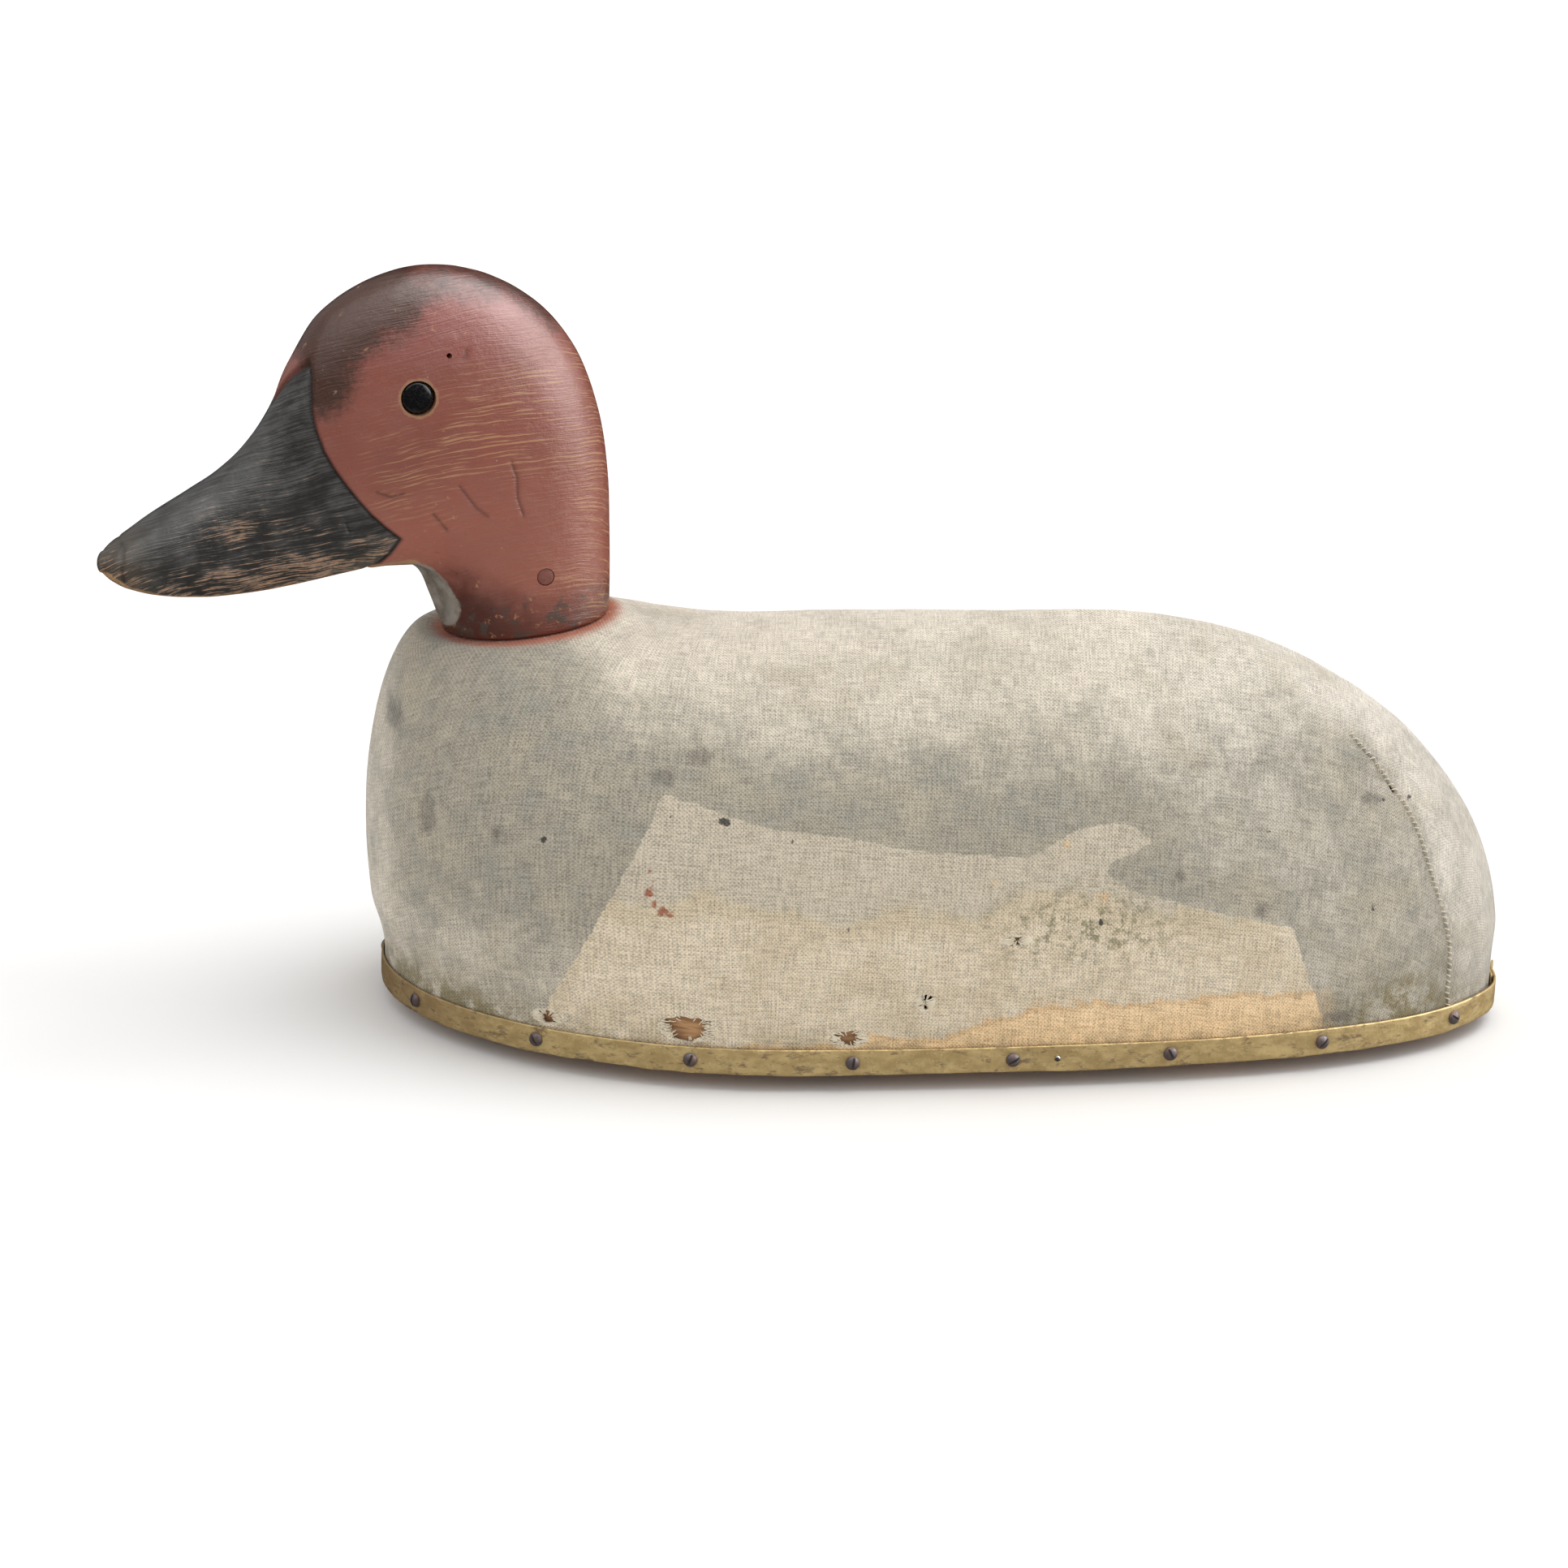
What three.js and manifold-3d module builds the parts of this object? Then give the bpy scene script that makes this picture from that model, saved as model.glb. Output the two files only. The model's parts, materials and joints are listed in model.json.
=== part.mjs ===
// A floating duck decoy: canvas pulled over a slatted wooden body, held round
// the bottom edge by a brass strip, with a carved head that turns on a dowel.
// Millimetres, +Z up, bill towards -X. The origin is on the surface that the
// ballast plate rests on, under the middle of the decoy's box.
import * as THREE from 'three';
import { mergeVertices } from 'three/addons/utils/BufferGeometryUtils.js';
import Module from 'manifold-3d';

const wasm = await Module();
wasm.setup();

// Clearance between pieces that touch in the real object.
const GAP = 0.3;

// Sizes below are placed from a body line; this moves them to the box's middle.
const ORIGIN_SHIFT = [43.3, -0.8, 0];

// Body outline on the base plane: a blunt egg, wide in the breast.
const BASE_Z = 6;
const BODY_MID_X = -58;
const FRONT_LENGTH = 143.7;
const REAR_LENGTH = 269;
const HALF_WIDTH = 96;
const REAR_TAPER = 0.055;

// Body section: superellipses that rise from the outline to a ridge line.
const RIDGE_FRONT_INSET = 29;
const RIDGE_REAR_INSET = 155;
const RIDGE_Z = 149.6;
const RIDGE_SLOPE = 0.075;
const SHOULDER_RISE = 11.4;
const SHOULDER_X = -150;
const SHOULDER_SPREAD = 48;
const SIDE_POWER = 2.3;
const FRONT_POWER = 4.2;
const REAR_POWER = 2.14;
const SIDE_BULGE = 4;
const FRONT_BULGE = 7.4;
const REAR_BULGE = 5.5;
const SKIRT_TOP_Z = 17;
const BULGE_RISE = 24;
const SKIRT_BOTTOM_Z = 6.5;

// Canvas and the wood under it.
const CANVAS = 1.2;
const BOARD_HEIGHT = 24;
const FRAME_Z = BASE_Z + BOARD_HEIGHT + GAP;
const SLAT_DEPTH = CANVAS + 0.5;
const SLAT = 3;
const RIB_DEPTH = SLAT_DEPTH + SLAT + 0.5;
const RIB_THICKNESS = 12;
const RIB_X = [-92, 25, 138];
const BREAST_BLOCK_END_X = -112;
const TAIL_BLOCK_START_X = 168;
const BLOCK_JOINT = 0.6;
const RIDGE_SLAT_HALF = 11;
const SIDE_SLAT_MIN_Y = 15;
const SLAT_HEIGHT = 18;
const SLAT_BANDS = { lower: 46, middle: 78, upper: 110 };

// Edge strip and its screws.
const STRIP = 0.9;
const STRIP_BOTTOM_Z = 6.6;
const STRIP_HEIGHT = 9.5;
const STRIP_START = -0.03;
const STRIP_LAP = 0.15;
const STRIP_RAMP = [0.935, 0.97];
const STRIP_LIFT_FROM = 0.988;
const STRIP_LIFT = 3.2;
const SCREW_COUNT = 17;
const SCREW_FIRST = 0.32;
const SCREW_HEAD_R = 2.6;
const SCREW_HEAD_H = 1.8;
const SCREW_SHANK_R = 1.1;
const SCREW_LENGTH = 12;
const SCREW_HOLE_R = 1.7;
const NAIL_PLACE = 13.6;
const NAIL_HEAD_R = 1.1;
const NAIL_SHANK_R = 0.6;
const NAIL_HOLE_R = 1.1;

// Neck seat: a flat round on the canvas, tipped forward with the swivel axis.
const SEAT_X = -150;
const SEAT_Z = 145.5;
const SEAT_TILT = 7;
const SEAT_FLAT_R = 32;
const SEAT_BLEND_BELOW = 8;
const SEAT_BLEND_ABOVE = 12;
const SEAT_GAP = 0.4;
const HEAD_TURN = 14;

// Head parts, in the head's own frame (forward, side, up from the seat).
const DOWEL_R = 9.5;
const DOWEL_TOP = 50;
const DOWEL_BOTTOM = -58;
const DOWEL_CLEARANCE = 0.4;
const PEG_R = 3.1;
const PEG_CLEARANCE = 0.25;
const PEG_AT = [-4.3, 21.9];
const PEG_HALF = 27.7;
const EYE_AT = [33.4, 94.1];
const EYE_SIDE = 28;
const EYE_R = 5.8;
const EYE_SOCKET_R = 6.2;
const EYE_SOCKET_DEPTH = 5;
const EYE_DOME = 2;

// Head sections from the bill's tip, over the crown, down to the neck's foot:
// top point, lower point, half width, height of the widest place, upper and lower powers.
const HEAD_SECTIONS = [
  [149.6, 48, 151.2, 43.2, 4.5, 0.5, 2, 2],
  [146.4, 50.6, 148.8, 39.8, 10.5, 0.45, 2.1, 2.6],
  [139.6, 55, 142.5, 35.8, 15.5, 0.4, 2.1, 3.4],
  [130, 60.2, 132, 32.4, 18.5, 0.36, 2.1, 4],
  [117, 66.2, 116, 29.7, 20, 0.34, 2.1, 4.4],
  [105, 72, 100, 28.7, 20.5, 0.34, 2, 4.4],
  [94, 80, 85, 29, 21, 0.34, 1.9, 4.4],
  [83.8, 91.6, 72, 29.6, 22, 0.36, 1.9, 4],
  [74, 107, 62, 29.8, 23.5, 0.4, 2, 3.4],
  [61.5, 122.8, 54, 29.8, 25.5, 0.44, 2.1, 3],
  [42.5, 132.4, 47.8, 29, 27.5, 0.48, 2.2, 2.8],
  [21.5, 134.9, 42, 27.8, 28.6, 0.5, 2.2, 2.6],
  [0.5, 129, 38.6, 25.8, 29, 0.5, 2.2, 2.4],
  [-17.4, 115.8, 36.8, 23.2, 29, 0.5, 2.2, 2.2],
  [-29.2, 97, 35.8, 20.2, 29, 0.5, 2.2, 2.1],
  [-34.6, 74.6, 35, 16.6, 28.8, 0.5, 2.2, 2],
  [-35.4, 52, 34, 12.6, 28.5, 0.5, 2.2, 2],
  [-34, 32, 33, 8.4, 28.3, 0.5, 2.2, 2],
  [-32, 14, 31.8, 4, 28.1, 0.5, 2.2, 2],
  [-30.2, 0, 30.8, 0, 28, 0.5, 2.2, 2],
];
const HEAD_TIP = [151.9, 45.4];

// Ballast and anchor staple.
const BALLAST_X = -30;
const BALLAST_LENGTH = 200;
const BALLAST_WIDTH = 76;
const BALLAST_CORNER = 6;
const BALLAST_HEIGHT = BASE_Z - GAP;
const BALLAST_SCREW_X = 84;
const BALLAST_SCREW_Y = 24;
const FLAT_HEAD_R = 4.2;
const FLAT_HEAD_H = 3;
const FLAT_SHANK_R = 1.9;
const FLAT_LENGTH = 19;
const FLAT_FLOOR = 0.6;
const BOARD_SCREW_LENGTH = 42;
const BOARD_SCREW_RECESS = 2.5;
const STAPLE_X = -172;
const STAPLE_HALF = 8;
const STAPLE_WIRE = 2;
const STAPLE_LOW_Z = 0.6;
const STAPLE_HIGH_Z = 20;

// A length beyond the whole decoy, for blocks that only cut or keep.
const FAR = 400;

// How finely the curved pieces are cut.
const OUTLINE_STEPS = 44;
const RISE_STEPS = 11;
const RISE_START = 0.07;
const STRIP_STEPS = 72;
const HEAD_ROWS = 28;
const HEAD_ROUND = 20;
const SMALL_SIDES = 6;
const SCREW_SIDES = 8;
const PIN_SIDES = 12;
const ROUND_SIDES = 16;
const ARC_SAMPLES = 720;

const rad = THREE.MathUtils.degToRad;
const TURN = 2 * Math.PI;

// Materials.
function paint(color, roughness, metalness = 0) {
  return new THREE.MeshStandardMaterial({ color, roughness, metalness });
}

const looks = {
  canvas: paint(0xa9a596, 0.9),
  brass: paint(0x8a7a44, 0.5, 0.8),
  steel: paint(0x3a3434, 0.6, 0.7),
  bright: paint(0xb8b4a8, 0.4, 0.8),
  pine: paint(0x9a7448, 0.8),
  head: paint(0x7c4238, 0.5),
  peg: paint(0x743a33, 0.5),
  eye: paint(0x0c0c0e, 0.15),
  lead: paint(0x6c6e72, 0.6, 0.6),
};

// Solids.
function signedVolume(geometry) {
  const place = geometry.attributes.position;
  const a = new THREE.Vector3();
  const b = new THREE.Vector3();
  const c = new THREE.Vector3();
  let sum = 0;
  for (let i = 0; i < geometry.index.count; i += 3) {
    a.fromBufferAttribute(place, geometry.index.getX(i));
    b.fromBufferAttribute(place, geometry.index.getX(i + 1));
    c.fromBufferAttribute(place, geometry.index.getX(i + 2));
    sum += a.dot(b.cross(c));
  }
  return sum / 6;
}

function closedGeometry(points, triangles) {
  const geometry = new THREE.BufferGeometry();
  geometry.setAttribute('position', new THREE.Float32BufferAttribute(points.flat(), 3));
  geometry.setIndex(triangles.flat());
  if (signedVolume(geometry) < 0) {
    geometry.setIndex(triangles.map(([a, b, c]) => [a, c, b]).flat());
  }
  return geometry;
}

function toManifold(geometry) {
  const bare = geometry.clone();
  bare.deleteAttribute('normal');
  bare.deleteAttribute('uv');
  const merged = mergeVertices(bare, 1e-4);
  return new wasm.Manifold(new wasm.Mesh({
    numProp: 3,
    vertProperties: Float32Array.from(merged.attributes.position.array),
    triVerts: Uint32Array.from(merged.index.array),
  }));
}

function fromManifold(solid) {
  const mesh = solid.getMesh();
  const geometry = new THREE.BufferGeometry();
  geometry.setAttribute('position', new THREE.BufferAttribute(mesh.vertProperties, 3));
  geometry.setIndex(new THREE.BufferAttribute(mesh.triVerts, 1));
  return geometry;
}

function cut(geometry, ...cutters) {
  return fromManifold(cutters.reduce((solid, cutter) => solid.subtract(cutter), toManifold(geometry)));
}

function keep(geometry, boxes) {
  return fromManifold(boxes.reduce((solid, box) => solid.intersect(box), toManifold(geometry)));
}

// A block between two corners, as a solid that cuts or keeps.
function block(low, high) {
  const size = high.map((value, k) => value - low[k]);
  const geometry = new THREE.BoxGeometry(...size);
  geometry.translate(...low.map((value, k) => value + size[k] / 2));
  return toManifold(geometry);
}

// A turned piece along +Z: the profile runs from axis to axis, radius then height.
function turned(profile, sides) {
  return new THREE.LatheGeometry(profile.map(([r, z]) => new THREE.Vector2(r, z)), sides)
    .rotateX(Math.PI / 2);
}

function rod(radius, from, to, sides) {
  return turned([[0, from], [radius, from], [radius, to], [0, to]], sides);
}

// Body surface.
function smooth(t) {
  const s = THREE.MathUtils.clamp(t, 0, 1);
  return s * s * (3 - 2 * s);
}

function outlinePoint(u) {
  const c = Math.cos(u);
  const length = c < 0 ? FRONT_LENGTH : REAR_LENGTH;
  const narrow = 1 - REAR_TAPER * Math.sin(Math.PI * Math.max(c, 0));
  return [BODY_MID_X + length * c, HALF_WIDTH * Math.sin(u) * narrow];
}

function outlineNormal(u) {
  const [x0, y0] = outlinePoint(u - 1e-4);
  const [x1, y1] = outlinePoint(u + 1e-4);
  const length = Math.hypot(x1 - x0, y1 - y0);
  return [(y1 - y0) / length, -(x1 - x0) / length];
}

function outlineOffset(u, out) {
  const [x, y] = outlinePoint(u);
  const [nx, ny] = outlineNormal(u);
  return [x + nx * out, y + ny * out];
}

function ridgeHeight(x) {
  return RIDGE_Z + RIDGE_SLOPE * x + SHOULDER_RISE * Math.exp(-(((x - SHOULDER_X) / SHOULDER_SPREAD) ** 2));
}

// The canvas is pressed flat under the neck: heights above the seat fade out there.
function pressSeat([x, y, z]) {
  const tilt = rad(SEAT_TILT);
  const dx = x - SEAT_X;
  const dz = z - SEAT_Z;
  const along = dx * Math.cos(tilt) + dz * Math.sin(tilt);
  const above = -dx * Math.sin(tilt) + dz * Math.cos(tilt) + SEAT_GAP;
  const r = Math.hypot(along, y);
  const free = smooth((r - SEAT_FLAT_R) / (above < 0 ? SEAT_BLEND_BELOW : SEAT_BLEND_ABOVE));
  const drop = z > SEAT_Z / 2 ? above * (1 - free) : 0;
  return [x + drop * Math.sin(tilt), y, z - drop * Math.cos(tilt)];
}

function bodyPoint(u, v) {
  const c = Math.cos(u);
  const front = c < 0;
  const blend = (side, end) => side + (end - side) * c * c;
  const power = blend(SIDE_POWER, front ? FRONT_POWER : REAR_POWER);
  const bulge = blend(SIDE_BULGE, front ? FRONT_BULGE : REAR_BULGE);
  const run = front ? FRONT_LENGTH - RIDGE_FRONT_INSET : REAR_LENGTH - RIDGE_REAR_INSET;
  const ridgeX = BODY_MID_X + run * c;
  const [x, y] = outlinePoint(u);
  const rise = Math.sin(v * Math.PI / 2) ** (2 / power);
  const reach = Math.cos(v * Math.PI / 2) ** (2 / power);
  const span = Math.hypot(x - ridgeX, y);
  const z = BASE_Z + (ridgeHeight(ridgeX) - BASE_Z) * rise;
  const swell = bulge * Math.sin(Math.PI * rise) * smooth((z - SKIRT_TOP_Z) / BULGE_RISE);
  const r = reach * span + swell;
  return pressSeat([ridgeX + (x - ridgeX) / span * r, y / span * r, z]);
}

// Rows of body points: two for the upright skirt, then up to the ridge, where
// the two sides share their points.
function bodyRows() {
  const rows = [];
  for (const z of [SKIRT_BOTTOM_Z, SKIRT_TOP_Z]) {
    rows.push(outlineAngles().map((u) => [...outlinePoint(u), z]));
  }
  for (let j = 0; j <= RISE_STEPS; j += 1) {
    const v = RISE_START + (1 - RISE_START) * j / RISE_STEPS;
    rows.push(outlineAngles().map((u) => bodyPoint(u, v)));
  }
  return rows;
}

function outlineAngles() {
  return Array.from({ length: OUTLINE_STEPS }, (_, i) => TURN * i / OUTLINE_STEPS);
}

// Points and triangles of the open body surface, before any thickness.
function bodySurface() {
  const rows = bodyRows();
  const last = rows.length - 1;
  const points = rows.slice(0, last).flat();
  const ridgeStart = points.length;
  points.push(...rows[last].slice(0, OUTLINE_STEPS / 2 + 1).map(([x, , z]) => [x, 0, z]));
  const at = (j, i) => {
    const k = i % OUTLINE_STEPS;
    return j < last ? j * OUTLINE_STEPS + k : ridgeStart + Math.min(k, OUTLINE_STEPS - k);
  };
  const triangles = [];
  for (let j = 0; j < last; j += 1) {
    for (let i = 0; i < OUTLINE_STEPS; i += 1) {
      triangles.push([at(j, i), at(j, i + 1), at(j + 1, i + 1)]);
      triangles.push([at(j, i), at(j + 1, i + 1), at(j + 1, i)]);
    }
  }
  return { points, triangles };
}

const SURFACE = bodySurface();

// The body surface moved inwards along its normals; the bottom ring keeps its height.
function surfaceInside(depth) {
  const geometry = new THREE.BufferGeometry();
  geometry.setAttribute('position', new THREE.Float32BufferAttribute(SURFACE.points.flat(), 3));
  geometry.setIndex(SURFACE.triangles.flat());
  geometry.computeVertexNormals();
  const normal = geometry.attributes.normal;
  return SURFACE.points.map(([x, y, z], k) => {
    const up = k < OUTLINE_STEPS ? 0 : normal.getZ(k);
    return [x - normal.getX(k) * depth, y - normal.getY(k) * depth, z - up * depth];
  });
}

// The whole space inside the canvas, down to the skirt's bottom.
function formInside(depth) {
  const points = surfaceInside(depth);
  const centre = points.length;
  points.push([0, 0, SKIRT_BOTTOM_Z]);
  const floor = outlineAngles().map((_, i) => [centre, (i + 1) % OUTLINE_STEPS, i]);
  return closedGeometry(points, [...SURFACE.triangles, ...floor]);
}

// Screw places: equal steps of length round the outline.
function outlineAtLength() {
  const lengths = [0];
  for (let k = 1; k <= ARC_SAMPLES; k += 1) {
    const [x0, y0] = outlinePoint(TURN * (k - 1) / ARC_SAMPLES);
    const [x1, y1] = outlinePoint(TURN * k / ARC_SAMPLES);
    lengths.push(lengths[k - 1] + Math.hypot(x1 - x0, y1 - y0));
  }
  return (share) => {
    const target = (((share % 1) + 1) % 1) * lengths[ARC_SAMPLES];
    const k = lengths.findIndex((value) => value >= target);
    return TURN * k / ARC_SAMPLES;
  };
}

const angleAtShare = outlineAtLength();
const STRIP_MID_Z = STRIP_BOTTOM_Z + STRIP_HEIGHT / 2;
const STRIP_OUT = GAP + STRIP;

// Turns a piece made along +Z so that +Z points out of the strip there.
function onStrip(geometry, share, out) {
  const u = angleAtShare(share);
  const [nx, ny] = outlineNormal(u);
  const [x, y] = outlineOffset(u, out);
  return geometry.rotateY(Math.PI / 2).rotateZ(Math.atan2(ny, nx)).translate(x, y, STRIP_MID_Z);
}

function screwShare(k) {
  return (SCREW_FIRST + k) / SCREW_COUNT;
}

function stripHoles() {
  const depth = -SCREW_LENGTH - 1;
  const holes = Array.from({ length: SCREW_COUNT }, (_, k) => (
    toManifold(onStrip(rod(SCREW_HOLE_R, depth, 3, SMALL_SIDES), screwShare(k), 0))));
  holes.push(toManifold(onStrip(rod(NAIL_HOLE_R, depth, 3, SMALL_SIDES), NAIL_PLACE / SCREW_COUNT, 0)));
  return wasm.Manifold.union(holes);
}

function stripScrew(k) {
  const profile = [
    [0, -SCREW_LENGTH], [SCREW_SHANK_R, 1.5 - SCREW_LENGTH], [SCREW_SHANK_R, 0],
    [SCREW_HEAD_R, 0], [SCREW_HEAD_R * 0.8, SCREW_HEAD_H * 0.7], [0, SCREW_HEAD_H],
  ];
  return onStrip(turned(profile, SMALL_SIDES), screwShare(k), STRIP_OUT + GAP);
}

function stripNail() {
  const profile = [
    [0, -SCREW_LENGTH], [NAIL_SHANK_R, 1 - SCREW_LENGTH], [NAIL_SHANK_R, 0],
    [NAIL_HEAD_R, 0], [NAIL_HEAD_R * 0.8, 0.6], [0, 0.8],
  ];
  return onStrip(turned(profile, SMALL_SIDES), NAIL_PLACE / SCREW_COUNT, STRIP_OUT + GAP);
}

// The strip goes once round the skirt, laps over its own start and lifts at its end.
function stripInnerOut(t) {
  const [from, to] = STRIP_RAMP;
  const lap = smooth((t - from) / (to - from));
  const lift = Math.max(0, (t - STRIP_LIFT_FROM) / (1 - STRIP_LIFT_FROM)) ** 2;
  return GAP + lap * (STRIP + GAP) + lift * STRIP_LIFT;
}

function edgeStrip(holes) {
  const points = [];
  const triangles = [];
  for (let k = 0; k <= STRIP_STEPS; k += 1) {
    const t = k / STRIP_STEPS;
    const u = STRIP_START + (TURN + STRIP_LAP) * t;
    const inner = outlineOffset(u, stripInnerOut(t));
    const outer = outlineOffset(u, stripInnerOut(t) + STRIP);
    const top = STRIP_BOTTOM_Z + STRIP_HEIGHT;
    points.push([...inner, STRIP_BOTTOM_Z], [...outer, STRIP_BOTTOM_Z], [...outer, top], [...inner, top]);
  }
  for (let k = 0; k < STRIP_STEPS; k += 1) {
    for (let side = 0; side < 4; side += 1) {
      const a = 4 * k + side;
      const b = 4 * k + (side + 1) % 4;
      triangles.push([a, b, b + 4], [a, b + 4, a + 4]);
    }
  }
  const end = 4 * STRIP_STEPS;
  triangles.push([0, 2, 1], [0, 3, 2], [end, end + 1, end + 2], [end, end + 2, end + 3]);
  return cut(closedGeometry(points, triangles), holes);
}

// The swivel axis as a placement for things made in the head's frame.
function seatMatrix(turn) {
  const tilt = new THREE.Matrix4().makeRotationY(-rad(SEAT_TILT));
  const yaw = new THREE.Matrix4().makeRotationZ(rad(turn));
  return new THREE.Matrix4().makeTranslation(SEAT_X, 0, SEAT_Z).multiply(tilt).multiply(yaw);
}

function axisHole(radius, from, to) {
  return toManifold(rod(radius, from, to, ROUND_SIDES).applyMatrix4(seatMatrix(0)));
}

function canvasCover(holes) {
  const inner = surfaceInside(CANVAS);
  const count = inner.length;
  const triangles = [...SURFACE.triangles];
  triangles.push(...SURFACE.triangles.map(([a, b, c]) => [a + count, c + count, b + count]));
  for (let i = 0; i < OUTLINE_STEPS; i += 1) {
    const next = (i + 1) % OUTLINE_STEPS;
    triangles.push([i, i + count, next + count], [i, next + count, next]);
  }
  const shell = closedGeometry([...SURFACE.points, ...inner], triangles);
  return cut(shell, holes, axisHole(DOWEL_R + 2 * DOWEL_CLEARANCE, -20, 5));
}

// The board fills the foot of the form, and stands a little below the canvas.
function baseBoard(holes, recesses) {
  const form = formInside(CANVAS + 2 * GAP).translate(0, 0, BASE_Z - SKIRT_BOTTOM_Z);
  const slab = block([-FAR, -FAR, BASE_Z - GAP], [FAR, FAR, BASE_Z + BOARD_HEIGHT]);
  return cut(keep(form, [slab]), holes, recesses);
}

// Wood inside the canvas, above the base board.
const frameSpace = (x0, x1) => block([x0, -FAR, FRAME_Z], [x1, FAR, FAR]);

function breastBlock(drilled) {
  const solid = keep(formInside(SLAT_DEPTH), [frameSpace(-FAR, BREAST_BLOCK_END_X)]);
  return cut(solid, axisHole(DOWEL_R + DOWEL_CLEARANCE, DOWEL_BOTTOM - 1, 5), drilled);
}

function tailBlock(drilled) {
  return cut(keep(formInside(SLAT_DEPTH), [frameSpace(TAIL_BLOCK_START_X, FAR)]), drilled);
}

function rib(x, drilled) {
  const half = RIB_THICKNESS / 2;
  return cut(keep(formInside(RIB_DEPTH), [frameSpace(x - half, x + half)]), drilled);
}

function slatLayer() {
  const inner = toManifold(formInside(SLAT_DEPTH + SLAT));
  return cut(formInside(SLAT_DEPTH), inner);
}

const SLAT_FROM = BREAST_BLOCK_END_X + BLOCK_JOINT;
const SLAT_TO = TAIL_BLOCK_START_X - BLOCK_JOINT;

function ridgeSlat(layer) {
  return keep(layer, [block([SLAT_FROM, -RIDGE_SLAT_HALF, FRAME_Z], [SLAT_TO, RIDGE_SLAT_HALF, FAR])]);
}

function sideSlat(layer, side, low) {
  const near = side * SIDE_SLAT_MIN_Y;
  const far = side * FAR;
  const from = [SLAT_FROM, Math.min(near, far), low];
  const to = [SLAT_TO, Math.max(near, far), low + SLAT_HEIGHT];
  return keep(layer, [block(from, to)]);
}

// Flat-head screws driven upwards from below.
function flatScrew(x, y, headZ, length) {
  const profile = [
    [0, 0], [FLAT_HEAD_R, 0], [FLAT_SHANK_R, FLAT_HEAD_H], [FLAT_SHANK_R, length - 3], [0, length],
  ];
  return turned(profile, SCREW_SIDES).translate(x, y, headZ);
}

function flatScrewHole(x, y, headZ, length) {
  const head = FLAT_HEAD_R + GAP;
  const shank = FLAT_SHANK_R + GAP;
  const profile = [
    [0, -FAR], [head, -FAR], [head, 0], [shank, FLAT_HEAD_H], [shank, length + GAP], [0, length + GAP],
  ];
  return toManifold(turned(profile, SCREW_SIDES).translate(x, y, headZ));
}

const BALLAST_SCREWS = [[-1, -1], [-1, 1], [1, -1], [1, 1]]
  .map(([a, b]) => [BALLAST_X + a * BALLAST_SCREW_X, b * BALLAST_SCREW_Y, FLAT_FLOOR, FLAT_LENGTH]);
const BOARD_SCREW_Z = BASE_Z + BOARD_SCREW_RECESS;
const BOARD_SCREWS = {
  board_screw_breast_left: [-148, -44, BOARD_SCREW_Z, BOARD_SCREW_LENGTH],
  board_screw_breast_right: [-148, 44, BOARD_SCREW_Z, BOARD_SCREW_LENGTH],
  board_screw_rib_front: [RIB_X[0], 48, BOARD_SCREW_Z, BOARD_SCREW_LENGTH],
  board_screw_rib_middle: [RIB_X[1], 48, BOARD_SCREW_Z, BOARD_SCREW_LENGTH],
  board_screw_rib_rear: [RIB_X[2], 30, BOARD_SCREW_Z, BOARD_SCREW_LENGTH],
  board_screw_tail: [182, 0, BOARD_SCREW_Z, BOARD_SCREW_LENGTH],
};

function roundedPlate(length, width, corner) {
  const shape = new THREE.Shape();
  const x = length / 2;
  const y = width / 2;
  shape.moveTo(corner - x, -y);
  shape.absarc(x - corner, corner - y, corner, -Math.PI / 2, 0);
  shape.absarc(x - corner, y - corner, corner, 0, Math.PI / 2);
  shape.absarc(corner - x, y - corner, corner, Math.PI / 2, Math.PI);
  shape.absarc(corner - x, corner - y, corner, Math.PI, 1.5 * Math.PI);
  return shape;
}

function ballastPlate(holes) {
  const shape = roundedPlate(BALLAST_LENGTH, BALLAST_WIDTH, BALLAST_CORNER);
  const plate = new THREE.ExtrudeGeometry(shape, { depth: BALLAST_HEIGHT, bevelEnabled: false, curveSegments: 4 });
  return cut(plate.translate(BALLAST_X, 0, 0), holes);
}

// A wire staple across the front of the board, its crown standing clear below it.
function staplePath(high, half, low) {
  const path = new THREE.CurvePath();
  const bend = 3;
  const at = (y, z) => new THREE.Vector3(STAPLE_X, y, z);
  path.add(new THREE.LineCurve3(at(-half, high), at(-half, low + bend)));
  path.add(new THREE.QuadraticBezierCurve3(at(-half, low + bend), at(-half, low), at(bend - half, low)));
  path.add(new THREE.LineCurve3(at(bend - half, low), at(half - bend, low)));
  path.add(new THREE.QuadraticBezierCurve3(at(half - bend, low), at(half, low), at(half, low + bend)));
  path.add(new THREE.LineCurve3(at(half, low + bend), at(half, high)));
  return path;
}

function anchorStaple() {
  const wire = new THREE.Shape();
  wire.absarc(0, 0, STAPLE_WIRE / 2, 0, TURN);
  const path = staplePath(STAPLE_HIGH_Z, STAPLE_HALF, STAPLE_LOW_Z + STAPLE_WIRE / 2);
  return new THREE.ExtrudeGeometry(wire, { steps: 16, extrudePath: path, curveSegments: 4 });
}

function stapleHoles() {
  const r = STAPLE_WIRE / 2 + GAP;
  return [-STAPLE_HALF, STAPLE_HALF].map((y) => (
    toManifold(rod(r, 0, STAPLE_HIGH_Z + GAP, SCREW_SIDES).translate(STAPLE_X, y, 0))));
}

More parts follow.
